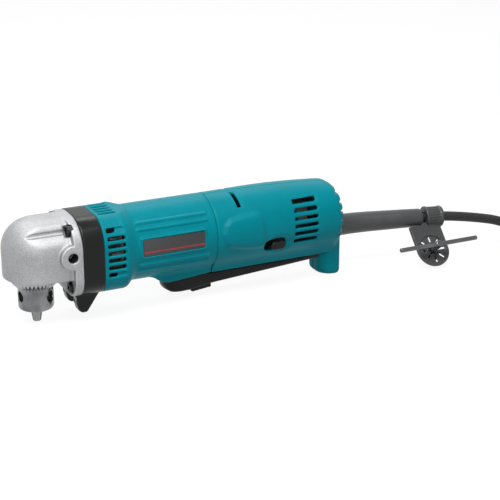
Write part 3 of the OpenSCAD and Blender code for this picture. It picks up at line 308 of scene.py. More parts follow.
def plate_section(u, v, half_u, half_v, r):
    a = np.abs(u) - half_u + r
    b = np.abs(v) - half_v + r
    return np.hypot(np.maximum(a, 0), np.maximum(b, 0)) + np.minimum(np.maximum(a, b), 0) - r


def polygon_field(u, v, points):
    points = np.array(points, float)
    near = None
    crossings = None
    for a, b in zip(points, np.roll(points, -1, axis=0)):
        e = b - a
        wu, wv = u - a[0], v - a[1]
        t = np.clip((wu * e[0] + wv * e[1]) / (e @ e), 0, 1)
        gap = (wu - e[0] * t) ** 2 + (wv - e[1] * t) ** 2
        near = gap if near is None else np.minimum(near, gap)
        if abs(e[1]) > 1e-9:
            passed = ((a[1] <= v) != (b[1] <= v)) & (wu < e[0] * wv / e[1])
            crossings = passed if crossings is None else crossings ^ passed
    return np.where(crossings, -1, 1) * np.sqrt(near)


def skin(name, low, high, step, field):
    axes = [np.arange(a - 2 * step, b + 3 * step, step) for a, b in zip(low, high)]
    grid = np.meshgrid(*axes, indexing="ij", sparse=True)
    depth = np.broadcast_to(field(*grid), [len(a) for a in axes]).astype(np.float32)
    depth = np.where(np.abs(depth) < 1e-5, 1e-5, depth)
    solid = depth < 0
    span = [n - 1 for n in depth.shape]
    corners = [(i, j, k) for i in (0, 1) for j in (0, 1) for k in (0, 1)]
    count = sum(solid[i:i + span[0], j:j + span[1], k:k + span[2]].astype(np.int8) for i, j, k in corners)
    cells = np.argwhere((count > 0) & (count < len(corners)))
    number = np.full(span, -1, np.int32)
    number[tuple(cells.T)] = np.arange(len(cells))
    total = np.zeros((len(cells), 3))
    hits = np.zeros(len(cells))
    for a in corners:
        for axis in range(3):
            if a[axis]:
                continue
            b = list(a)
            b[axis] = 1
            start = depth[tuple((cells + a).T)]
            end = depth[tuple((cells + b).T)]
            crossed = (start < 0) != (end < 0)
            share = np.where(crossed, start / np.where(crossed, start - end, 1), 0)
            point = np.tile(np.array(a, float), (len(cells), 1))
            point[:, axis] = share
            total[crossed] += point[crossed]
            hits[crossed] += 1
    origin = np.array([a[0] for a in axes])
    verts = (origin + (cells + total / hits[:, None]) * step) * 0.001
    faces = []
    for axis, (one, two) in enumerate(((1, 2), (2, 0), (0, 1))):
        cut = [slice(1, n - 1) for n in depth.shape]
        cut[axis] = slice(0, depth.shape[axis] - 1)
        ahead = list(cut)
        ahead[axis] = slice(1, depth.shape[axis])
        inner, outer = solid[tuple(cut)], solid[tuple(ahead)]
        places = np.argwhere(inner != outer)
        flipped = outer[tuple(places.T)]
        shift = np.array([1, 1, 1])
        shift[axis] = 0
        places = places + shift
        quad = []
        for du, dv in ((-1, -1), (0, -1), (0, 0), (-1, 0)):
            cell = places.copy()
            cell[:, one] += du
            cell[:, two] += dv
            quad.append(number[tuple(cell.T)])
        quad = np.stack(quad, axis=1)
        quad[flipped] = quad[flipped][:, ::-1]
        faces.append(quad)
    mesh = bpy.data.meshes.new(name)
    mesh.from_pydata(verts.tolist(), [], np.vstack(faces).tolist())
    mesh.shade_smooth()
    return place_object(name, mesh)


def set_up(piece, material, body, node):
    piece.data.materials.clear()
    piece.data.materials.append(material)
    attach(piece, body)
    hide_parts(node)


motor_axis = 47.5
pinion_axis = 60
pinion_seat = 10.74
collar_middle = 47.3
collar_half = (29, 27.8)
head_screw_y = 17.5
head_screw_z = (27, 68.4)
head_screw_seat = 22.4
head_screw_hole = 2.1
head_screw_boss = 4.2
dome_middle = 2.5
dome_radius = 24.68
dome_round = 21
head_top = 75.25
head_foot = 34.5
head_back = 26.6
flange_ends = (20.4, 26.65)
valley_foot = (16, 68.4)
valley_floor = (0.64, 0.77)
valley_wall = (0.96, 0.28)
boss_x = 19.4
boss_z = 51.9
boss_radius = 8.7
boss_hole = 3.4
thread_reach = 3.7
thread_span = (17.5, 27.9)
spindle_bores = ((14, 39, 48), (16.8, 47, 63), (8, 62, 71))
pinion_bores = ((7.5, 0), (8.5, 18), (pinion_seat, 24.5))


def collar_section(y, z, grow=0):
    corner = np.where(z > collar_middle, 20, 16) + grow
    return plate_section(y, z - collar_middle, collar_half[0] + grow, collar_half[1] + grow, corner)


def from_head_screws(y, z):
    return union(*(np.hypot(np.abs(y) - head_screw_y, z - height) for height in head_screw_z))


def gear_head(x, y, z):
    side = np.abs(y)
    plan = np.hypot(np.minimum(x - dome_middle, 0), y) - dome_radius
    head = round_meet(plan, z - head_top, dome_round)
    head = overlap(round_meet(head, head_foot - z, 0.9), x - head_back)
    beside, above = side - valley_foot[0], z - valley_foot[1]
    floor, wall = (a * beside + b * above for a, b in (valley_floor, valley_wall))
    valley = round_meet(-floor, -wall, 2)
    head = round_cut(head, valley, 1.6)
    from_boss = np.hypot(x - boss_x, z - boss_z)
    depth = overlap(round_join(slab(x, *flange_ends), from_boss - boss_radius, 1), x - flange_ends[1])
    flange = round_meet(collar_section(y, z, -0.15), depth, 0.8)
    body = round_join(head, flange, 1.3)
    hole = round_meet(from_boss - boss_hole, slab(side, 18.2, 40), 0.3)
    sink = overlap(from_boss - boss_hole - np.maximum(side - 28.1, 0) * 1.1, 27.5 - side)
    body = overlap(body, -union(hole, sink))
    heads = from_head_screws(y, z)
    body = round_cut(body, overlap(heads - head_screw_boss, slab(x, 17.2, head_screw_seat)), 0.8)
    from_spindle = np.hypot(x, y)
    from_pinion = np.hypot(y, z - pinion_axis)
    hollow = overlap(from_spindle - 17.7, z - 40)
    for bore, low, high in spindle_bores:
        hollow = union(hollow, overlap(from_spindle - bore, slab(z, low, high)))
    for bore, start in pinion_bores:
        hollow = union(hollow, overlap(from_pinion - bore, start - x))
    hollow = union(hollow, overlap(np.hypot(y, z - motor_axis) - 4.78, 24.5 - x))
    return overlap(body, -union(hollow, heads - head_screw_hole))


# Its pale edge colour is partly edge wear and partly a painted highlight.
cast_metal = finish_of(
    "blasted aluminium", (0.27, 0.274, 0.282), (0.47, 0.475, 0.485), 0.52, metal=0.75, fineness=1300,
    depth=0.0002, speck=0.75, wear_and_edge_highlight=(0.72, 0.72, 0.73))
thread_metal = finish_of(
    "oily thread", (0.03, 0.03, 0.031), (0.2, 0.2, 0.205), 0.35, metal=0.8, fineness=900, depth=0.0003,
    stretch=(0.2, 4, 0.2))
gear_housing = skin("gear_housing_cast", (-22.5, -29.4, 19), (27, 29.4, 75.8), 0.55, gear_head)
set_up(gear_housing, cast_metal, "housing", "gear_housing")
gear_housing.data.materials.append(thread_metal)
for face in gear_housing.data.polygons:
    x, y, z = face.center * 1000
    in_hole = math.hypot(x - boss_x, z - boss_z) < thread_reach
    face.material_index = int(in_hole and thread_span[0] < abs(y) < thread_span[1])


# Lamp collar: a black glass-filled nylon moulding between the head and the motor. Two horns
# under it hold the work lamps, and the four head screws run into its bosses.
collar_ends = (26.75, 41.95)
collar_wall = 5
bearing_wall = (36.1, 40.6)
horn_sides = (6.9, 16.1)
horn_profile = [(26.7, 25.5), (26.7, 13), (27.9, 8.6), (29, 7.8), (31.2, 7.8), (40, 20.6), (40, 25.5)]
horn_round = 2
horn_top = 19.4
lamp_y = 11.5
lamp_z = 16.2


def collar_body(x, y, z):
    side = np.abs(y)
    shell = round_meet(collar_section(y, z), slab(x, *collar_ends), 0.9)
    horn = polygon_field(x, z, horn_profile) - horn_round
    horn = overlap(horn, -overlap(x - collar_ends[0], horn_top - z))
    horn = round_meet(horn, slab(side, *horn_sides), 1.2)
    body = round_join(shell, horn, 1.5)
    body = overlap(body, -overlap(collar_section(y, z, -collar_wall), x - bearing_wall[0]))
    bosses = from_head_screws(y, z)
    from_motor = np.hypot(y, z - motor_axis)
    from_pinion = np.hypot(y, z - pinion_axis)
    body = union(body, overlap(bosses - head_screw_boss, slab(x, collar_ends[0], 41)),
                 overlap(from_motor - 12, slab(x, 41, 48)))
    holes = union(overlap(from_pinion - 6.5, slab(x, 35.1, bearing_wall[1])),
                  overlap(from_pinion - pinion_seat, x - bearing_wall[0]),
                  overlap(from_motor - 5, slab(x, 35.1, 50)),
                  overlap(from_motor - 9.5, 42.1 - x),
                  overlap(np.hypot(side - lamp_y, z - lamp_z) - 2.7, x - 26.2),
                  overlap(bosses - head_screw_hole, x - 40.9))
    return overlap(body, -holes)


# Its grey edge colour is a painted highlight along the collar's rims.
collar_plastic = finish_of(
    "glossy black nylon", (0.002, 0.0023, 0.0024), (0.005, 0.0055, 0.0057), 0.26, fineness=1600,
    depth=0.00004, wear_and_edge_highlight=(0.04, 0.042, 0.045), gloss=0.22)
lamp_collar = skin("lamp_collar_moulding", (24.4, -29.2, 5.4), (48.2, 29.2, 75.3), 0.6, collar_body)
set_up(lamp_collar, collar_plastic, "housing", "lamp_collar")


# Motor housing: teal glass-filled nylon. A squared block with cooling slots narrows into a round
# tube with thin ribs, a framed recess for the plate and a boss that curves down over the lever.
tube_radius = 27.5
tube_inside = 25
block_end = 62.5
motor_top = 75.15
motor_ends = (42.05, 128.2)
rib_angles = (45, 34.5, -20, -31)
rib_middle = 95
rib_top = 28.45
lever_boss = [(82.5, 24), (86, 20.2), (90, 17.6), (95, 16.4), (129, 19), (129, 47.5), (95, 47.5)]
plate_x = 94.5
plate_z = 50.7
slot_half = (6.5, 1.5)
slot_pitch = 5.2
side_slots = 7
side_slot_x = 51.2
side_slot_top = 66.5
short_slot = (47.95, 3.25)
top_slots = 5
top_slot_x = 50.5
lever_well = 13
air_hole_place = 11.667


def motor_body(x, y, z):
    side = np.abs(y)
    rise = z - motor_axis
    radius = np.hypot(y, rise)
    block = round_meet(collar_section(y, z), x - block_end, 5)
    body = round_join(block, overlap(radius - tube_radius, block_end - 1 - x), 6)
    body = overlap(body, z - motor_top)
    boss = polygon_field(x, z, lever_boss)
    body = round_join(body, round_meet(boss, side - 15, 2), 3)
    for angle in rib_angles:
        c, s = math.cos(math.radians(angle)), math.sin(math.radians(angle))
        out = side * c + rise * s
        across = rise * c - side * s
        rib = round_meet(plate_section(x - rib_middle, across, 27, 0.95, 0.9), out - rib_top, 0.5)
        body = round_join(body, overlap(rib, 20 - out), 0.9)
    rim = round_meet(plate_section(x - plate_x, z - plate_z, 25.1, 7.8, 2.2), -27.85 - y, 0.5)
    body = round_join(body, overlap(rim, y + 20), 0.6)
    body = round_meet(body, slab(x, *motor_ends), 0.45)
    recess = overlap(plate_section(x - plate_x, z - plate_z, 23.5, 6.2, 1), y + 26.8)
    outer = body
    for i in range(side_slots):
        height = z - side_slot_top + slot_pitch * i
        slot = plate_section(x - side_slot_x, height, *slot_half, slot_half[1])
        if i in (0, side_slots - 1):
            body = round_cut(body, overlap(slot, -outer - 1), 0.3)
            slot = plate_section(x - short_slot[0], height, short_slot[1], slot_half[1], slot_half[1])
        body = round_cut(body, overlap(slot, 15 - side), 0.5)
    for i in range(top_slots):
        slot = plate_section(x - top_slot_x, y - slot_pitch * (i - 2), *slot_half, slot_half[1])
        body = round_cut(body, overlap(slot, 60 - z), 0.5)
    inside = union(overlap(collar_section(y, z, -2.5), x - 58.5), overlap(radius - tube_inside, x - 123.5))
    well = overlap(84.5 - x, side - lever_well, z - 22.66)
    body = overlap(body, -union(inside, well, recess))
    air = np.hypot(side - air_hole_place, np.abs(rise) - air_hole_place) - 6
    return overlap(body, -overlap(union(radius - 8, air), 120 - x))


# Its paler teal edge colour is partly edge wear and partly a painted highlight.
teal_plastic = finish_of(
    "teal nylon", (0, 0.19, 0.24), (0, 0.235, 0.29), 0.38, fineness=1500, depth=0.00007, speck=0.5,
    wear_and_edge_highlight=(0.003, 0.29, 0.335), gloss=0.08)
motor_housing = skin("motor_housing_moulding", (42, -29.2, 16), (128.5, 29.2, 76), 0.7, motor_body)
set_up(motor_housing, teal_plastic, "housing", "motor_housing")


# Plate: a thin anodised aluminium strip, printed dark and fading along its length, with one plain
# red line. It is stuck in the framed recess on the near side.
def smooth_mesh(name, bm):
    bmesh.ops.scale(bm, vec=(0.001, 0.001, 0.001), verts=bm.verts)
    mesh = bpy.data.meshes.new(name)
    bm.to_mesh(mesh)
    bm.free()
    mesh.shade_smooth()
    return mesh


plate_low = (71.1, -27.8, 44.6)
plate_high = (117.9, -26.8, 56.8)
line_height = 0.04735
line_half = 0.00045
line_red = (0.42, 0.012, 0.016)
plate_look, tree = shader("printed plate")
grain = grain_of(tree, fineness=900, depth=0.00002, stretch=(0.15, 1, 1))
place = wire(tree, "ShaderNodeTexCoord").outputs["Object"]
split = wire(tree, "ShaderNodeSeparateXYZ", {0: place}).outputs
fade = map_range(tree, split["X"], low=0.071, high=0.118, to_low=0.75, to_high=0.1)
shade = two_tone(tree, fade, (0.014, 0.0145, 0.016), (0.05, 0.052, 0.055))
line = wire(tree, "ShaderNodeMath", {0: split["Z"], 1: line_height, 2: line_half}, operation="COMPARE")
paint = mixed_colour(tree, line.outputs[0], shade, line_red)
dull = map_range(tree, grain["Speck"], low=0, high=1, to_low=0.24, to_high=0.36)
shine(tree, {"Base Color": paint, "Roughness": dull, "Normal": grain["Normal"]})
block = bmesh.new()
bmesh.ops.create_cube(block, size=1)
bmesh.ops.scale(block, vec=[b - a for a, b in zip(plate_low, plate_high)], verts=block.verts)
bmesh.ops.translate(block, vec=[(a + b) / 2 for a, b in zip(plate_low, plate_high)], verts=block.verts)
bmesh.ops.bevel(block, geom=block.edges[:], offset=0.25, segments=2, profile=0.5, affect="EDGES")
name_plate = place_object("side_plate", smooth_mesh("side_plate", block))
set_up(name_plate, plate_look, "housing", "name_plate")


# Handle: two teal nylon half shells that meet in the middle and are screwed together from the far side.
# The near one has the pocket of the reversing button; both have a raised thumb pad, slots, a comb edge
# at the tail and half of the foot.
handle_front = 128.35
seam_x = 128.3
crown_top = 75
crown_fall = 2.1
crown_start = 160
tail_end = 232.7
tail_inside = 226.6
skirt_foot = 19
pad_outline = [(131, 52), (133, 43), (138, 39.2), (148, 36.6), (160, 34.8), (167, 35.6), (167.4, 46),
               (166.6, 57), (164.6, 63.4), (160.5, 65.2), (147, 64), (138.5, 62.4), (133, 58.5)]
pad_height = 1.8
pad_slope = 4
dish_middle = (179, 36.8)
dish_half = (11, 7.2)
dish_depth = 1.9
slit_span = (147.6, 150.5)
slit_sides = (4.4, 18.8)
oval_middle = (176, 25.6)
foot_middle = 228.25
nose_x, nose_flat, nose_round = 232.2, 2.6, 12
guard_axis = 34
rib_boxes = ((150, 153, 28.4, 42.4), (175, 178, 28.4, 42.4), (193, 196, 46, 60))
rib_reach = 9.1
handle_screw_places = ((150, 60), (184, 62), (217, 66), (229, 22))
handle_screw_seat = 11.5
lever_pin_x = 214
lever_pin_z = 21.6
rear_slots = 6
rear_slot_x = 200.4
rear_slot_top = 65.7
rear_slot_pitch = 5.75
notches = 6
notch_front = 227.8
notch_foot = 36.2
notch_pitch = 6.1
clamp_x, clamp_y, clamp_hole = 225, 8.5, 1.6
pocket_middle = (175.4, 36.5)
half_gap = 0.03


def handle_shell(x, y, z):
    side = np.abs(y)
    crown = crown_top - crown_fall * np.clip((x - crown_start) / 55, 0, 2) ** 2
    rise = (z - motor_axis) * tube_radius / (crown - motor_axis)
    full = 2 + 0.3 * np.clip((x - 135) / 50, 0, 1)
    upper = (side ** full + np.maximum(rise, 0) ** full) ** (1 / full)
    radius = np.where(rise > 0, upper, np.hypot(y, z - motor_axis))
    lower = 14.8 + 0.2 * np.clip((z - 30.6) / 0.8, 0, 1)
    skirt = overlap(round_meet(side - lower, skirt_foot - z, 1.2), z - motor_axis)
    share = np.clip(-polygon_field(x, z, pad_outline) / pad_slope, 0, 1)
    swell = pad_height * share ** 2 * (3 - 2 * share)
    ring = np.hypot((x - dish_middle[0]) / dish_half[0], (z - dish_middle[1]) / dish_half[1])
    swell = swell - np.where(y < 0, dish_depth * np.clip(1.15 - ring ** 2, 0, 1), 0)
    section = round_join(radius - tube_radius - swell, skirt, 5)
    body = round_meet(section, x - tail_end, 1 + 4 * np.clip((x - 196) / 26, 0, 1))
    plan = plate_section(x - foot_middle, y, 8.05, 14.6, np.where(x < foot_middle, 8, 2.5))
    plan = overlap(plan, np.hypot(np.minimum(x - nose_x, 0), np.maximum(side - nose_flat, 0)) - nose_round)
    foot = round_meet(plan, overlap(-z, z - guard_axis), 4)
    body = round_join(body, foot, 2)
    slit = overlap(slab(x, *slit_span), slab(side, *slit_sides))
    body = round_cut(body, overlap(slit, 18 - radius, motor_axis - z), 0.4)
    body = overlap(body, -overlap(np.abs(x - seam_x) - 0.5, 27 - radius))
    oval = np.hypot((x - oval_middle[0]) * 0.34, z - oval_middle[1]) - 3
    oval = np.hypot(oval, side - 14.4) - 0.35
    outer = round_join(body, oval, 0.4)
    inside = union(radius - tube_inside - np.minimum(swell, 0),
                   overlap(side - 12.5, 18 - z, z - motor_axis))
    inside = round_meet(inside, x - tail_inside, 1.5)
    stiff = overlap(221 - x, side - 14, skirt_foot - z, z - guard_axis)
    for front, back, low, high in rib_boxes:
        stiff = union(stiff, overlap(slab(x, front, back), slab(z, low, high), rib_reach - side))
    for px, pz in handle_screw_places:
        stiff = union(stiff, np.hypot(x - px, z - pz) - 4.2)
    body = overlap(outer, -overlap(inside, -stiff))
    for i in range(rear_slots):
        slot = plate_section(x - rear_slot_x, z - rear_slot_top + rear_slot_pitch * i, 9.7, 1.5, 0.7)
        body = round_cut(body, overlap(slot, 9 - side), 0.5)
    for i in range(notches):
        wedge = np.abs(z - notch_foot - notch_pitch * i) - 0.4 - 0.22 * np.maximum(x - notch_front, 0)
        notch = overlap(wedge * 0.97, notch_front - x, -outer - 1.9)
        notch = overlap(notch, 12.5 - side) if i < 3 else notch
        body = round_cut(body, notch, 0.5)
    from_pin = np.hypot(x - lever_pin_x, z - lever_pin_z)
    from_guard = np.hypot(y, z - guard_axis)
    holes = union(overlap(x - 220.5, side - lever_well, z - 26.5),
                  round_meet(from_pin - 2, slab(side, -1, 13.2), 0.3),
                  overlap(from_guard - 3.85, 220 - x),
                  overlap(from_guard - 10.1, slab(x, 228.9, 231.5)),
                  overlap(from_guard - 8.6, 231 - x),
                  overlap(np.hypot(x - clamp_x, side - clamp_y) - clamp_hole, slab(z, 24, 35)))
    for px, pz in handle_screw_places:
        from_screw = np.hypot(x - px, z - pz)
        holes = union(holes, overlap(from_screw - 1.9, side - 12),
                      overlap(from_screw - 3.5, handle_screw_seat - y))
    return overlap(round_meet(body, handle_front - x, 0.45), -holes)


def near_half(x, y, z):
    pocket = plate_section(x - pocket_middle[0], z - pocket_middle[1], 8.9, 4.7, 4.2)
    body = round_cut(handle_shell(x, y, z), overlap(pocket, y + 10), 0.6)
    return round_meet(body, y + half_gap, 0.3)


def far_half(x, y, z):
    return round_meet(handle_shell(x, y, z), half_gap - y, 0.3)


handle_left = skin("handle_near_half", (128, -29.2, -0.2), (236.4, 0.2, 76), 0.7, near_half)
set_up(handle_left, teal_plastic, "housing", "handle_left")
handle_right = skin("handle_far_half", (128, -0.2, -0.2), (236.4, 29.2, 76), 0.7, far_half)
set_up(handle_right, teal_plastic, "housing", "handle_right")


# Lever: a hollow black nylon paddle with a rounded nose, moulded with a slot for the lock button.
# It hinges on a steel pin in front of the handle's foot.
lever_outline = [(94, 18.6), (208, 18.6), (208, 24.5), (219.5, 24.5), (219.5, 15.1), (131, 9.5), (112, 6.9),
                 (99, 6.6), (95.5, 8.2), (94, 11)]
lever_top = 18.6
lever_half = 12.5
lever_wall = 2.2
nose_middle = 106.5
bend_x = 110
bend_z = 7.3
bend_cos = 0.99456
bend_sin = 0.10419


def along_bend(x, z):
    run = (x - bend_x) * bend_cos + (z - bend_z) * bend_sin
    lift = (z - bend_z) * bend_cos - (x - bend_x) * bend_sin
    return run, lift


def lever_body(x, y, z):
    side = np.abs(y)
    plan = np.hypot(np.minimum(x - nose_middle, 0), y) - lever_half
    body = round_meet(polygon_field(x, z, lever_outline), plan, 2.2)
    floor = overlap(bend_z + (x - bend_x) * 0.1048, bend_z, 9.5 + (x - 131) * 0.06328) + lever_wall
    inside = overlap(side - (lever_half - lever_wall), floor - z, slab(x, 103, 201.75))
    rib = overlap(slab(x, 162, 168), z - lever_top)
    body = overlap(body, -overlap(inside, -rib))
    body = overlap(body, 2.06 - np.hypot(x - lever_pin_x, z - lever_pin_z))
    run, lift = along_bend(x, z)
    slot = overlap(slab(run, 2.5, 14.5), side - 3.5, slab(lift, -1, 3.2))
    groove = np.hypot(run - 22, lift + 0.6) - 1.4
    return round_cut(overlap(body, -slot), overlap(groove, side - 9), 0.5)


# Its greyer edge colour is partly edge wear and partly a painted highlight.
black_plastic = finish_of(
    "black nylon", (0.008, 0.0083, 0.0088), (0.015, 0.0155, 0.0165), 0.31, fineness=1600, depth=0.00005,
    wear_and_edge_highlight=(0.05, 0.052, 0.055), gloss=0.14)
lever = skin("paddle_lever", (93.6, -12.7, 6.3), (219.7, 12.7, 24.7), 0.6, lever_body)
set_up(lever, black_plastic, "lever", "lever")


# Head screws: four black socket cap screws, M4, driven through the flange into the collar's bosses.
# Handle screws: four dark pan-head screws with hexagon sockets, set deep in the far half.
def socket_screw(name, head_r, head_h, shank_r, length, socket_r, socket_deep):
    sides = 36
    turns = [2 * math.pi * k / sides for k in range(sides)]
    sixth = math.pi / 3
    bevel = 0.4
    socket = [(socket_r, head_h - socket_deep), (socket_r, head_h - 0.15), (socket_r + 0.2, head_h)]
    outside = [(head_r - bevel, head_h), (head_r, head_h - bevel), (head_r, 0), (shank_r, 0),
               (shank_r, bevel - length), (shank_r - bevel, -length), (0, -length)]
    bm = bmesh.new()
    loops = []
    for r, z in socket:
        loop = []
        for a in turns:
            flat = math.cos(sixth / 2) / math.cos((a % sixth) - sixth / 2)
            loop.append(bm.verts.new((r * flat * math.cos(a), r * flat * math.sin(a), z)))
        loops.append(loop)
    for r, z in outside:
        loops.append([bm.verts.new((r * math.cos(a), r * math.sin(a), z)) for a in turns])
    bm.faces.new(loops[0])
    for low, high in zip(loops, loops[1:]):
        for k in range(sides):
            m = (k + 1) % sides
            bm.faces.new((low[k], low[m], high[m], high[k]))
    bmesh.ops.remove_doubles(bm, verts=bm.verts, dist=1e-6)
    bmesh.ops.recalc_face_normals(bm, faces=bm.faces)
    mesh = smooth_mesh(name, bm)
    mesh.set_sharp_from_angle(angle=math.radians(32))
    return mesh


def scatter(name, unit, places, turn, material):
    # Geometry Nodes: one instance of the unit on each given point, realised as a plain mesh.
    points = bpy.data.meshes.new(name + "_points")
    points.from_pydata([tuple(0.001 * v for v in p) for p in places], [], [])
    holder = place_object(name, points)
    seed = place_object(name + "_unit", unit)
    tree = bpy.data.node_groups.new(name + "_repeat", "GeometryNodeTree")
    asked = add_sockets(tree, "INPUT", Geometry="Geometry", Facing="Rotation", Material="Material",
                        Unit="Object")
    add_sockets(tree, "OUTPUT", Geometry="Geometry")
    given = wire(tree, "NodeGroupInput").outputs
    shape = wire(tree, "GeometryNodeObjectInfo", {"Object": given["Unit"]})
    spread = wire(tree, "GeometryNodeInstanceOnPoints", {
        "Points": given["Geometry"], "Instance": shape.outputs["Geometry"], "Rotation": given["Facing"]})
    real = wire(tree, "GeometryNodeRealizeInstances", {0: spread.outputs[0]})
    done = wire(tree, "GeometryNodeSetMaterial", {"Geometry": real.outputs[0], "Material": given["Material"]})
    wire(tree, "NodeGroupOutput", {0: done.outputs[0]})
    repeat = holder.modifiers.new("repeat", "NODES")
    repeat.node_group = tree
    for label, answer in (("Facing", turn), ("Material", material), ("Unit", seed)):
        repeat[asked[label].identifier] = answer
    bpy.context.view_layer.update()
    made = bpy.data.meshes.new_from_object(holder.evaluated_get(bpy.context.evaluated_depsgraph_get()))
    holder.modifiers.clear()
    holder.data = made
    bpy.data.objects.remove(seed)
    return holder


facing_front = (0, -math.pi / 2, 0)
facing_far_side = (-math.pi / 2, 0, 0)
black_steel = finish_of(
    "blackened steel", (0.02, 0.02, 0.021), (0.045, 0.045, 0.047), 0.38, metal=0.8, depth=0.00002)
head_screw_unit = socket_screw("head_screw", head_r=3.8, head_h=4, shank_r=2, length=14.6, socket_r=1.7,
                               socket_deep=2)
head_screws = scatter("head_screws_socket", head_screw_unit,
                      [(head_screw_seat, side * head_screw_y, z) for side in (-1, 1) for z in head_screw_z],
                      facing_front, black_steel)
set_up(head_screws, black_steel, "housing", "head_screws")
handle_screw_unit = socket_screw("handle_screw", head_r=3.4, head_h=2.6, shank_r=1.8, length=22.5,
                                 socket_r=1.7, socket_deep=1.3)
handle_screws = scatter("handle_screws_socket", handle_screw_unit,
                        [(x, handle_screw_seat, z) for x, z in handle_screw_places],
                        facing_far_side, black_steel)
set_up(handle_screws, black_steel, "housing", "handle_screws")


# Lamp lenses: two small clear domes, moulded in acrylic and pressed into the fronts of the
# collar's horns, where the work lamps shine through them.
def ring_faces(rings, sides):
    faces = []
    for i in range(rings - 1):
        for k in range(sides):
            m = (k + 1) % sides
            faces.append((i * sides + k, i * sides + m, (i + 1) * sides + m, (i + 1) * sides + k))
    return faces


def turned_mesh(name, profile):
    sides = 32
    profile = np.array(profile, float)
    turn = np.arange(sides) * 2 * math.pi / sides
    verts = np.stack([profile[:, 0:1] * np.cos(turn), profile[:, 0:1] * np.sin(turn),
                      np.repeat(profile[:, 1:2], sides, 1)], axis=2).reshape(-1, 3)
    mesh = bpy.data.meshes.new(name)
    mesh.from_pydata((verts * 0.001).tolist(), [], ring_faces(len(profile), sides))
    mesh.validate()
    bm = bmesh.new()
    bm.from_mesh(mesh)
    bmesh.ops.remove_doubles(bm, verts=bm.verts, dist=1e-7)
    bmesh.ops.recalc_face_normals(bm, faces=bm.faces)
    bm.to_mesh(mesh)
    bm.free()
    mesh.shade_smooth()
    mesh.set_sharp_from_angle(angle=math.radians(35))
    return mesh


lens_back = 26.15
lens_unit = turned_mesh("lens", [(0, 0), (2.6, 0), (2.6, 1), (2.4, 1.3), (1.6, 1.48), (0, 1.5)])
lens_look, tree = shader("clear lens")
grain = grain_of(tree, fineness=700, depth=0.00002)
tint = two_tone(tree, grain["Cloud"], (0.30, 0.32, 0.33), (0.42, 0.44, 0.45))
shine(tree, {"Base Color": tint, "Roughness": 0.08, "Transmission Weight": 0.8, "Normal": grain["Normal"]})
lenses = scatter("lamp_lenses_clear", lens_unit, [(lens_back, side * lamp_y, lamp_z) for side in (-1, 1)],
                 facing_front, lens_look)
set_up(lenses, lens_look, "housing", "lamp_lenses")


# Reversing button: a black nylon slider with a plain rounded capsule face, held in the near half's
# pocket. It slides along the handle and reaches in towards the switch.
button_middle = (177.9, 35.5)
button_span = (-26, -11)


def button_body(x, y, z):
    face = plate_section(x - button_middle[0], z - button_middle[1], 6.1, 3.3, 3.2)
    return round_meet(face, slab(y, *button_span), 1.8)


reverse_button = skin("reverse_slider", (171.5, -26.3, 31.8), (184.3, -10.8, 40), 0.4, button_body)
set_up(reverse_button, black_plastic, "reverser", "reverse_button")


# Lock button: a black nylon slider under the lever's bend, moulded with five cross ridges for the
# finger. Its stem stands in the lever's slot, along which it slides.
ridges = 5
ridge_start = 5.85
ridge_pitch = 3.2


def lock_body(x, y, z):
    run, lift = along_bend(x, z)
    pad = round_meet(plate_section(run - 12.2, y, 8, 10.6, 1.5), slab(lift, -3, -0.1), 0.6)
    stem = overlap(plate_section(run - 10, y, 4, 3, 0.5), slab(lift, -2, 2.2))
    body = union(pad, stem)
    for i in range(ridges):
        ridge = np.hypot(run - ridge_start - ridge_pitch * i, lift + 2.95) - 0.6
        body = union(body, overlap(ridge, np.abs(y) - 9.8))
    return body


lock_button = skin("lock_slider", (113, -10.8, 3), (132, 10.8, 12.5), 0.4, lock_body)
set_up(lock_button, black_plastic, "lock", "lock_button")


# Chuck: a turned and polished steel body made in one with the spindle, bored for three leaning jaws and
# drilled in three places for the key's pilot. The loose sleeve over it has 36 cut teeth that the key turns.
chuck_radius = 12.5
chuck_ends = (9.3, 39.5)
spindle_steps = ((6, 38, 47), (5, 46, 69.9))
mouth_bore = (5.2, 30)
jaws = 3
jaw_turn = 10
jaw_lean = math.radians(13)
jaw_bore = 3.06
key_hole_height = 20
key_hole_radius = 3.8
sleeve_radius = 16.5
sleeve_bore = 12.56
sleeve_ends = (26.5, 37)
sleeve_teeth = 36
diagonal = 0.7071


def chuck_body(x, y, z):
    flat = np.hypot(x, y)
    body = round_meet(flat - chuck_radius, slab(z, *chuck_ends), 1)
    body = round_meet(body, 0.6 * (flat - chuck_radius) + 0.8 * (10.9 - z), 1)
    for radius, low, high in spindle_steps:
        body = union(body, overlap(flat - radius, slab(z, low, high)))
    cuts = overlap(flat - mouth_bore[0], z - mouth_bore[1])
    for i in range(jaws):
        turn = math.radians(jaw_turn + 120 * i)
        out = x * math.cos(turn) + y * math.sin(turn)
        across = y * math.cos(turn) - x * math.sin(turn)
        bore = np.hypot((out + 0.28) * math.cos(jaw_lean) - z * math.sin(jaw_lean), across) - jaw_bore
        hole = np.hypot(across, z - key_hole_height) - key_hole_radius
        hole = hole - np.maximum(-out - 11.6, 0) * 0.8
        cuts = union(cuts, overlap(bore, z - 38.5, flat - 11.5), overlap(hole, out + 7.5))
    return overlap(body, -cuts)


def sleeve_ring(x, y, z):
    flat = np.hypot(x, y)
    ring = round_meet(flat - sleeve_radius, slab(z, *sleeve_ends), 0.3)
    place = np.arctan2(y, x) * sleeve_teeth / (2 * math.pi)
    crest = 2 * np.abs(place - np.round(place))
    bevel = diagonal * ((flat - 13.3) - (z - sleeve_ends[0])) + 1.5 * np.clip(1.15 - 1.5 * crest, 0, 1)
    return overlap(ring, bevel, sleeve_bore - flat)
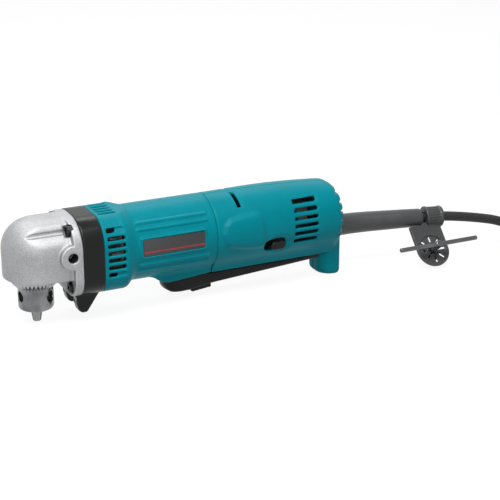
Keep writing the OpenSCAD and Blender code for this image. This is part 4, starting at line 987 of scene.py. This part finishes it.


# Its broad dark and pale streaks along the spindle's axis are painted reflections.
polished = finish_of(
    "polished steel", (0.12, 0.122, 0.126), (0.34, 0.343, 0.35), 0.22, metal=1, fineness=130,
    depth=0.000012, stretch=(1, 1, 0.15), speck=0.25)
cut_steel = finish_of(
    "cut steel", (0.26, 0.263, 0.27), (0.44, 0.443, 0.45), 0.22, metal=1, fineness=1200, depth=0.00002)
spindle = skin("chuck_and_spindle", (-12.6, -12.6, 9.2), (12.6, 12.6, 70), 0.4, chuck_body)
set_up(spindle, polished, "spindle", "spindle")
chuck_sleeve = skin("chuck_sleeve_toothed", (-16.6, -16.6, 26.4), (16.6, 16.6, 37.1), 0.3, sleeve_ring)
set_up(chuck_sleeve, cut_steel, "sleeve", "chuck_sleeve")


# Jaws and gear train: three jaws of darker hardened steel, and gears and shafts that are milled and ground
# where they run. The bearings are plain steel rings pressed into their seats; the bush is sintered bronze.
def dress(material, *names):
    for name in names:
        nodes[name].data.materials.clear()
        nodes[name].data.materials.append(material)


hard_steel = finish_of(
    "hardened steel", (0.20, 0.20, 0.205), (0.33, 0.33, 0.335), 0.30, metal=1, fineness=1400,
    depth=0.00002)
ground_steel = finish_of(
    "ground steel", (0.42, 0.42, 0.43), (0.58, 0.58, 0.59), 0.26, metal=1, fineness=1600, depth=0.00001)
bronze = finish_of("sintered bronze", (0.33, 0.20, 0.08), (0.48, 0.31, 0.13), 0.42, metal=1, depth=0.00003)
dress(hard_steel, "jaw_1", "jaw_2", "jaw_3")
dress(ground_steel, "bevel_gear", "spindle_bearing", "pinion_shaft", "spur_wheel", "pinion_bearing_front",
      "pinion_bearing_rear")
dress(bronze, "spindle_bush")


# Motor: an armature and a stator of stacked steel stampings wound with enamelled copper wire, on a ground
# shaft in two bearings. Carbon brushes in brass holders are sprung against the copper commutator,
# and a moulded fan is pressed on the shaft.
copper = finish_of(
    "enamelled copper wire", (0.30, 0.10, 0.035), (0.46, 0.17, 0.06), 0.32, metal=0.9, fineness=1200,
    depth=0.0003, stretch=(4, 1, 1))
stampings = finish_of(
    "stacked laminations", (0.10, 0.102, 0.107), (0.19, 0.19, 0.2), 0.45, metal=0.9, fineness=1500,
    depth=0.0001, stretch=(4, 0.05, 0.05))
carbon = finish_of("pressed carbon", (0.012, 0.012, 0.013), (0.03, 0.03, 0.031), 0.6, depth=0.00005)
grey_plastic = finish_of("grey plastic", (0.13, 0.135, 0.14), (0.19, 0.195, 0.2), 0.45, depth=0.00004)
dress(stampings, "armature_core", "stator")
dress(copper, "armature_windings", "field_coils", "commutator")
dress(ground_steel, "armature_shaft", "armature_bearing_front", "armature_bearing_rear", "brush_springs")
dress(carbon, "brushes")
dress(bronze, "brush_holders")
dress(grey_plastic, "fan")


# Switch gear: a black moulded switch with a red plunger, a grey speed control block, and a black clamp that
# two screws press on the cord. The lever turns on a ground steel pin, and its spring, a coil of steel
# wire between the lever and the switch, shortens as the lever is pressed.
red_plastic = finish_of("red plastic", (0.30, 0.02, 0.018), (0.40, 0.035, 0.03), 0.4, depth=0.00003)
dress(black_plastic, "switch", "strain_clamp")
dress(red_plastic, "switch_plunger")
dress(grey_plastic, "speed_control")
dress(black_steel, "strain_screws")
dress(ground_steel, "lever_pin", "lever_spring")
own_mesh(nodes["lever_spring"])


# Cord guard: a long tapered sleeve of black rubber, moulded with a plate that the handle halves hold.
# It bends with the cord towards the near side.
def sweep(name, line, radii):
    sides = 40
    line = np.array(line, float)
    ahead = np.gradient(line, axis=0)
    ahead /= np.linalg.norm(ahead, axis=1)[:, None]
    over = np.cross(ahead, (0, 0, 1))
    over /= np.linalg.norm(over, axis=1)[:, None]
    up = np.cross(over, ahead)
    turn = np.arange(sides) * 2 * math.pi / sides
    ring = over[:, None] * np.cos(turn)[None, :, None] + up[:, None] * np.sin(turn)[None, :, None]
    verts = (line[:, None] + ring * np.array(radii)[:, None, None]).reshape(-1, 3) * 0.001
    faces = [(a, d, c, b) for a, b, c, d in ring_faces(len(line), sides)]
    faces += [tuple(range(sides)), tuple((len(line) - 1) * sides + k for k in reversed(range(sides)))]
    mesh = bpy.data.meshes.new(name)
    mesh.from_pydata(verts.tolist(), [], faces)
    mesh.shade_smooth()
    mesh.set_sharp_from_angle(angle=math.radians(40))
    return place_object(name, mesh)


guard_start = 229
guard_length = 80
guard_plate_end = 231.3
guard_plate_radius = 10
guard_root_radius = 8.5
guard_taper = 1.5
guard_tip_radius = 6.3
guard_line = smooth_line([(guard_start, 0, 34), (247, 0, 34), (263, -2, 34), (279, -5.5, 34), (295, -9, 34),
                          (309, -11, 33.5)], 10)
guard_share = np.clip((guard_line[:, 0] - guard_start) / guard_length, 0, 1)
guard_radii = guard_root_radius - guard_taper * guard_share
guard_radii[guard_line[:, 0] < guard_plate_end] = guard_plate_radius
guard_radii[-1] = guard_tip_radius
cord_guard = sweep("bend_guard", guard_line, guard_radii)
guard_rubber = finish_of(
    "polished rubber", (0.026, 0.027, 0.028), (0.045, 0.046, 0.048), 0.38, fineness=900, depth=0.00003)
set_up(cord_guard, guard_rubber, "housing", "cord_guard")


# Key holder: black rubber, a ribbed ring that grips the cord and a flat tab with a round end. The key is
# pushed through the star of eight slits in the tab.
ring_x = 319
ring_y = -12.4
ring_z = 33.15
ring_bore = 4.25
ring_ribs = 22
tab_x = 309
tab_drop = 27
tab_cos = 0.66913
tab_sin = 0.74314
tab_radius = 13.5
star_radius = 10.5
star_cuts = 4


def tab_frame(x, y, z):
    u = x - tab_x
    v = (y - ring_y) * tab_cos + (z - ring_z) * tab_sin + tab_drop
    w = (z - ring_z) * tab_cos - (y - ring_y) * tab_sin
    return u, v, w, np.hypot(u, v)


def holder_body(x, y, z):
    along = ((x - ring_x) * 14 - (y - ring_y) * 2 - (z - ring_z) * 0.5) / 14.151
    off_x = x - ring_x - along * 0.98934
    off_y = y - ring_y + along * 0.14133
    off_z = z - ring_z + along * 0.03533
    reach = np.sqrt(off_x ** 2 + off_y ** 2 + off_z ** 2)
    turn = np.arctan2(off_z, off_y)
    middle = round_meet(reach - 7.75 - 0.3 * np.cos(ring_ribs * turn), np.abs(along) - 7, 0.3)
    rim = round_meet(reach - 8.5, slab(along, -7.5, -5.2), 0.6)
    bead = np.hypot(reach - 6.6, along - 5.6) - 1.85
    u, v, w, disc = tab_frame(x, y, z)
    tab = union(disc - tab_radius, overlap(np.abs(u) - tab_radius, slab(v, 0, 20.9)))
    thick = np.where(disc < 11.3, np.abs(w) - 0.5, np.abs(w) - 1.5)
    body = round_join(union(middle, rim, bead), round_meet(tab, thick, 0.4), 0.8)
    star = disc - 2.95
    for i in range(star_cuts):
        a = math.pi * i / star_cuts
        star = union(star, overlap(np.abs(v * math.cos(a) - u * math.sin(a)) - 0.75, disc - star_radius))
    return overlap(body, ring_bore - reach, -star)


key_holder = skin("key_holder_rubber", (295, -43, 1), (328, -3, 43), 0.4, holder_body)
set_up(key_holder, guard_rubber, "housing", "key_holder")


# Chuck key: dark phosphated steel, a cross bar pressed through the hub of a shank that ends in a bevelled
# ring of twelve teeth and a round pilot. It hangs in the star of the holder and turns there.
key_teeth = 12
key_gear_radius = 7.7
bar_height = 11
bar_radius = 1.75
bar_half = 34.5


def key_body(x, y, z):
    u, v, w, disc = tab_frame(x, y, z)
    shank = round_meet(disc - 2.85, slab(w, -3, 13.3), 0.7)
    bar = round_meet(np.hypot(v, w - bar_height) - bar_radius, np.abs(u) - bar_half, 0.7)
    pilot = round_meet(disc - 3.1, slab(w, -14.5, -2.5), 0.8)
    gear = round_meet(disc - key_gear_radius, slab(w, -9.5, -2.5), 0.4)
    place = np.abs(((np.arctan2(v, u) * key_teeth / (2 * math.pi) + 0.5) % 1) - 0.5)
    groove = place * 2 * math.pi / key_teeth * disc - 0.9
    bevel = (disc - key_gear_radius - w - 4.8) * diagonal + 2.2
    gear = round_cut(gear, overlap(groove, -bevel), 0.25)
    return union(shank, bar, pilot, gear)


dark_steel = finish_of(
    "phosphated steel", (0.085, 0.087, 0.09), (0.16, 0.162, 0.167), 0.2, metal=1, fineness=1300,
    depth=0.00002)
chuck_key = skin("chuck_key_steel", (274, -46, -1), (344, -14, 27), 0.4, key_body)
set_up(chuck_key, dark_steel, "key", "chuck_key")


# Plug: black rubber moulded round two nickel-plated brass pins, with grip ridges across its flanks.
# It lies on top of the coil, at the end of the cord.
plug_x, plug_y, plug_z = (1000 * v for v in cord_end)
plug_ends = (13, 51)
plug_half = 17
plug_middle = 3.25


def plug_body(x, y, z):
    along = x - plug_x - 1000 * plug_lead
    across = np.abs(y - plug_y)
    rise = z - plug_z
    wide = plug_half - 3 * np.clip((30 - along) / 17, 0, 1) + 0.25 * np.cos(along * 2.4) - 0.25
    block = round_meet(across - wide, np.abs(rise - plug_middle) - 8, 4)
    block = round_meet(block, slab(along, *plug_ends), 2)
    neck = round_meet(np.hypot(across, rise) - 4.75, slab(along, 0, 15), 0.6)
    return round_join(block, neck, 1.5)


plug_low = [plug_x + 7.3, plug_y - 17.2, plug_z - 5]
plug_high = [plug_low[0] + 51.5, plug_low[1] + 34.4, plug_low[2] + 16.5]
plug = skin("mains_plug", plug_low, plug_high, 0.6, plug_body)
set_up(plug, rubber, "housing", "plug")
dress(ground_steel, "plug_pins")


# Coil strap: one band of black rubber, closed round the windings on the side away from the tool.
# The cord then carries the plug, its pins, the strap and the key in its holder with it.
strap_x = 506.675
strap_z = 14
strap_half = (17.775, 13.8)
strap_thick = 1.2
strap_span = (-20.5, -8.5)


def strap_body(x, y, z):
    loop = plate_section(x - strap_x, z - strap_z, *strap_half, 2)
    return round_meet(np.abs(loop + strap_thick / 2) - strap_thick / 2, slab(y, *strap_span), 0.3)


coil_tie = skin("coil_strap", (488.5, -20.7, 0), (524.7, -8.3, 28), 0.4, strap_body)
set_up(coil_tie, rubber, "housing", "coil_tie")
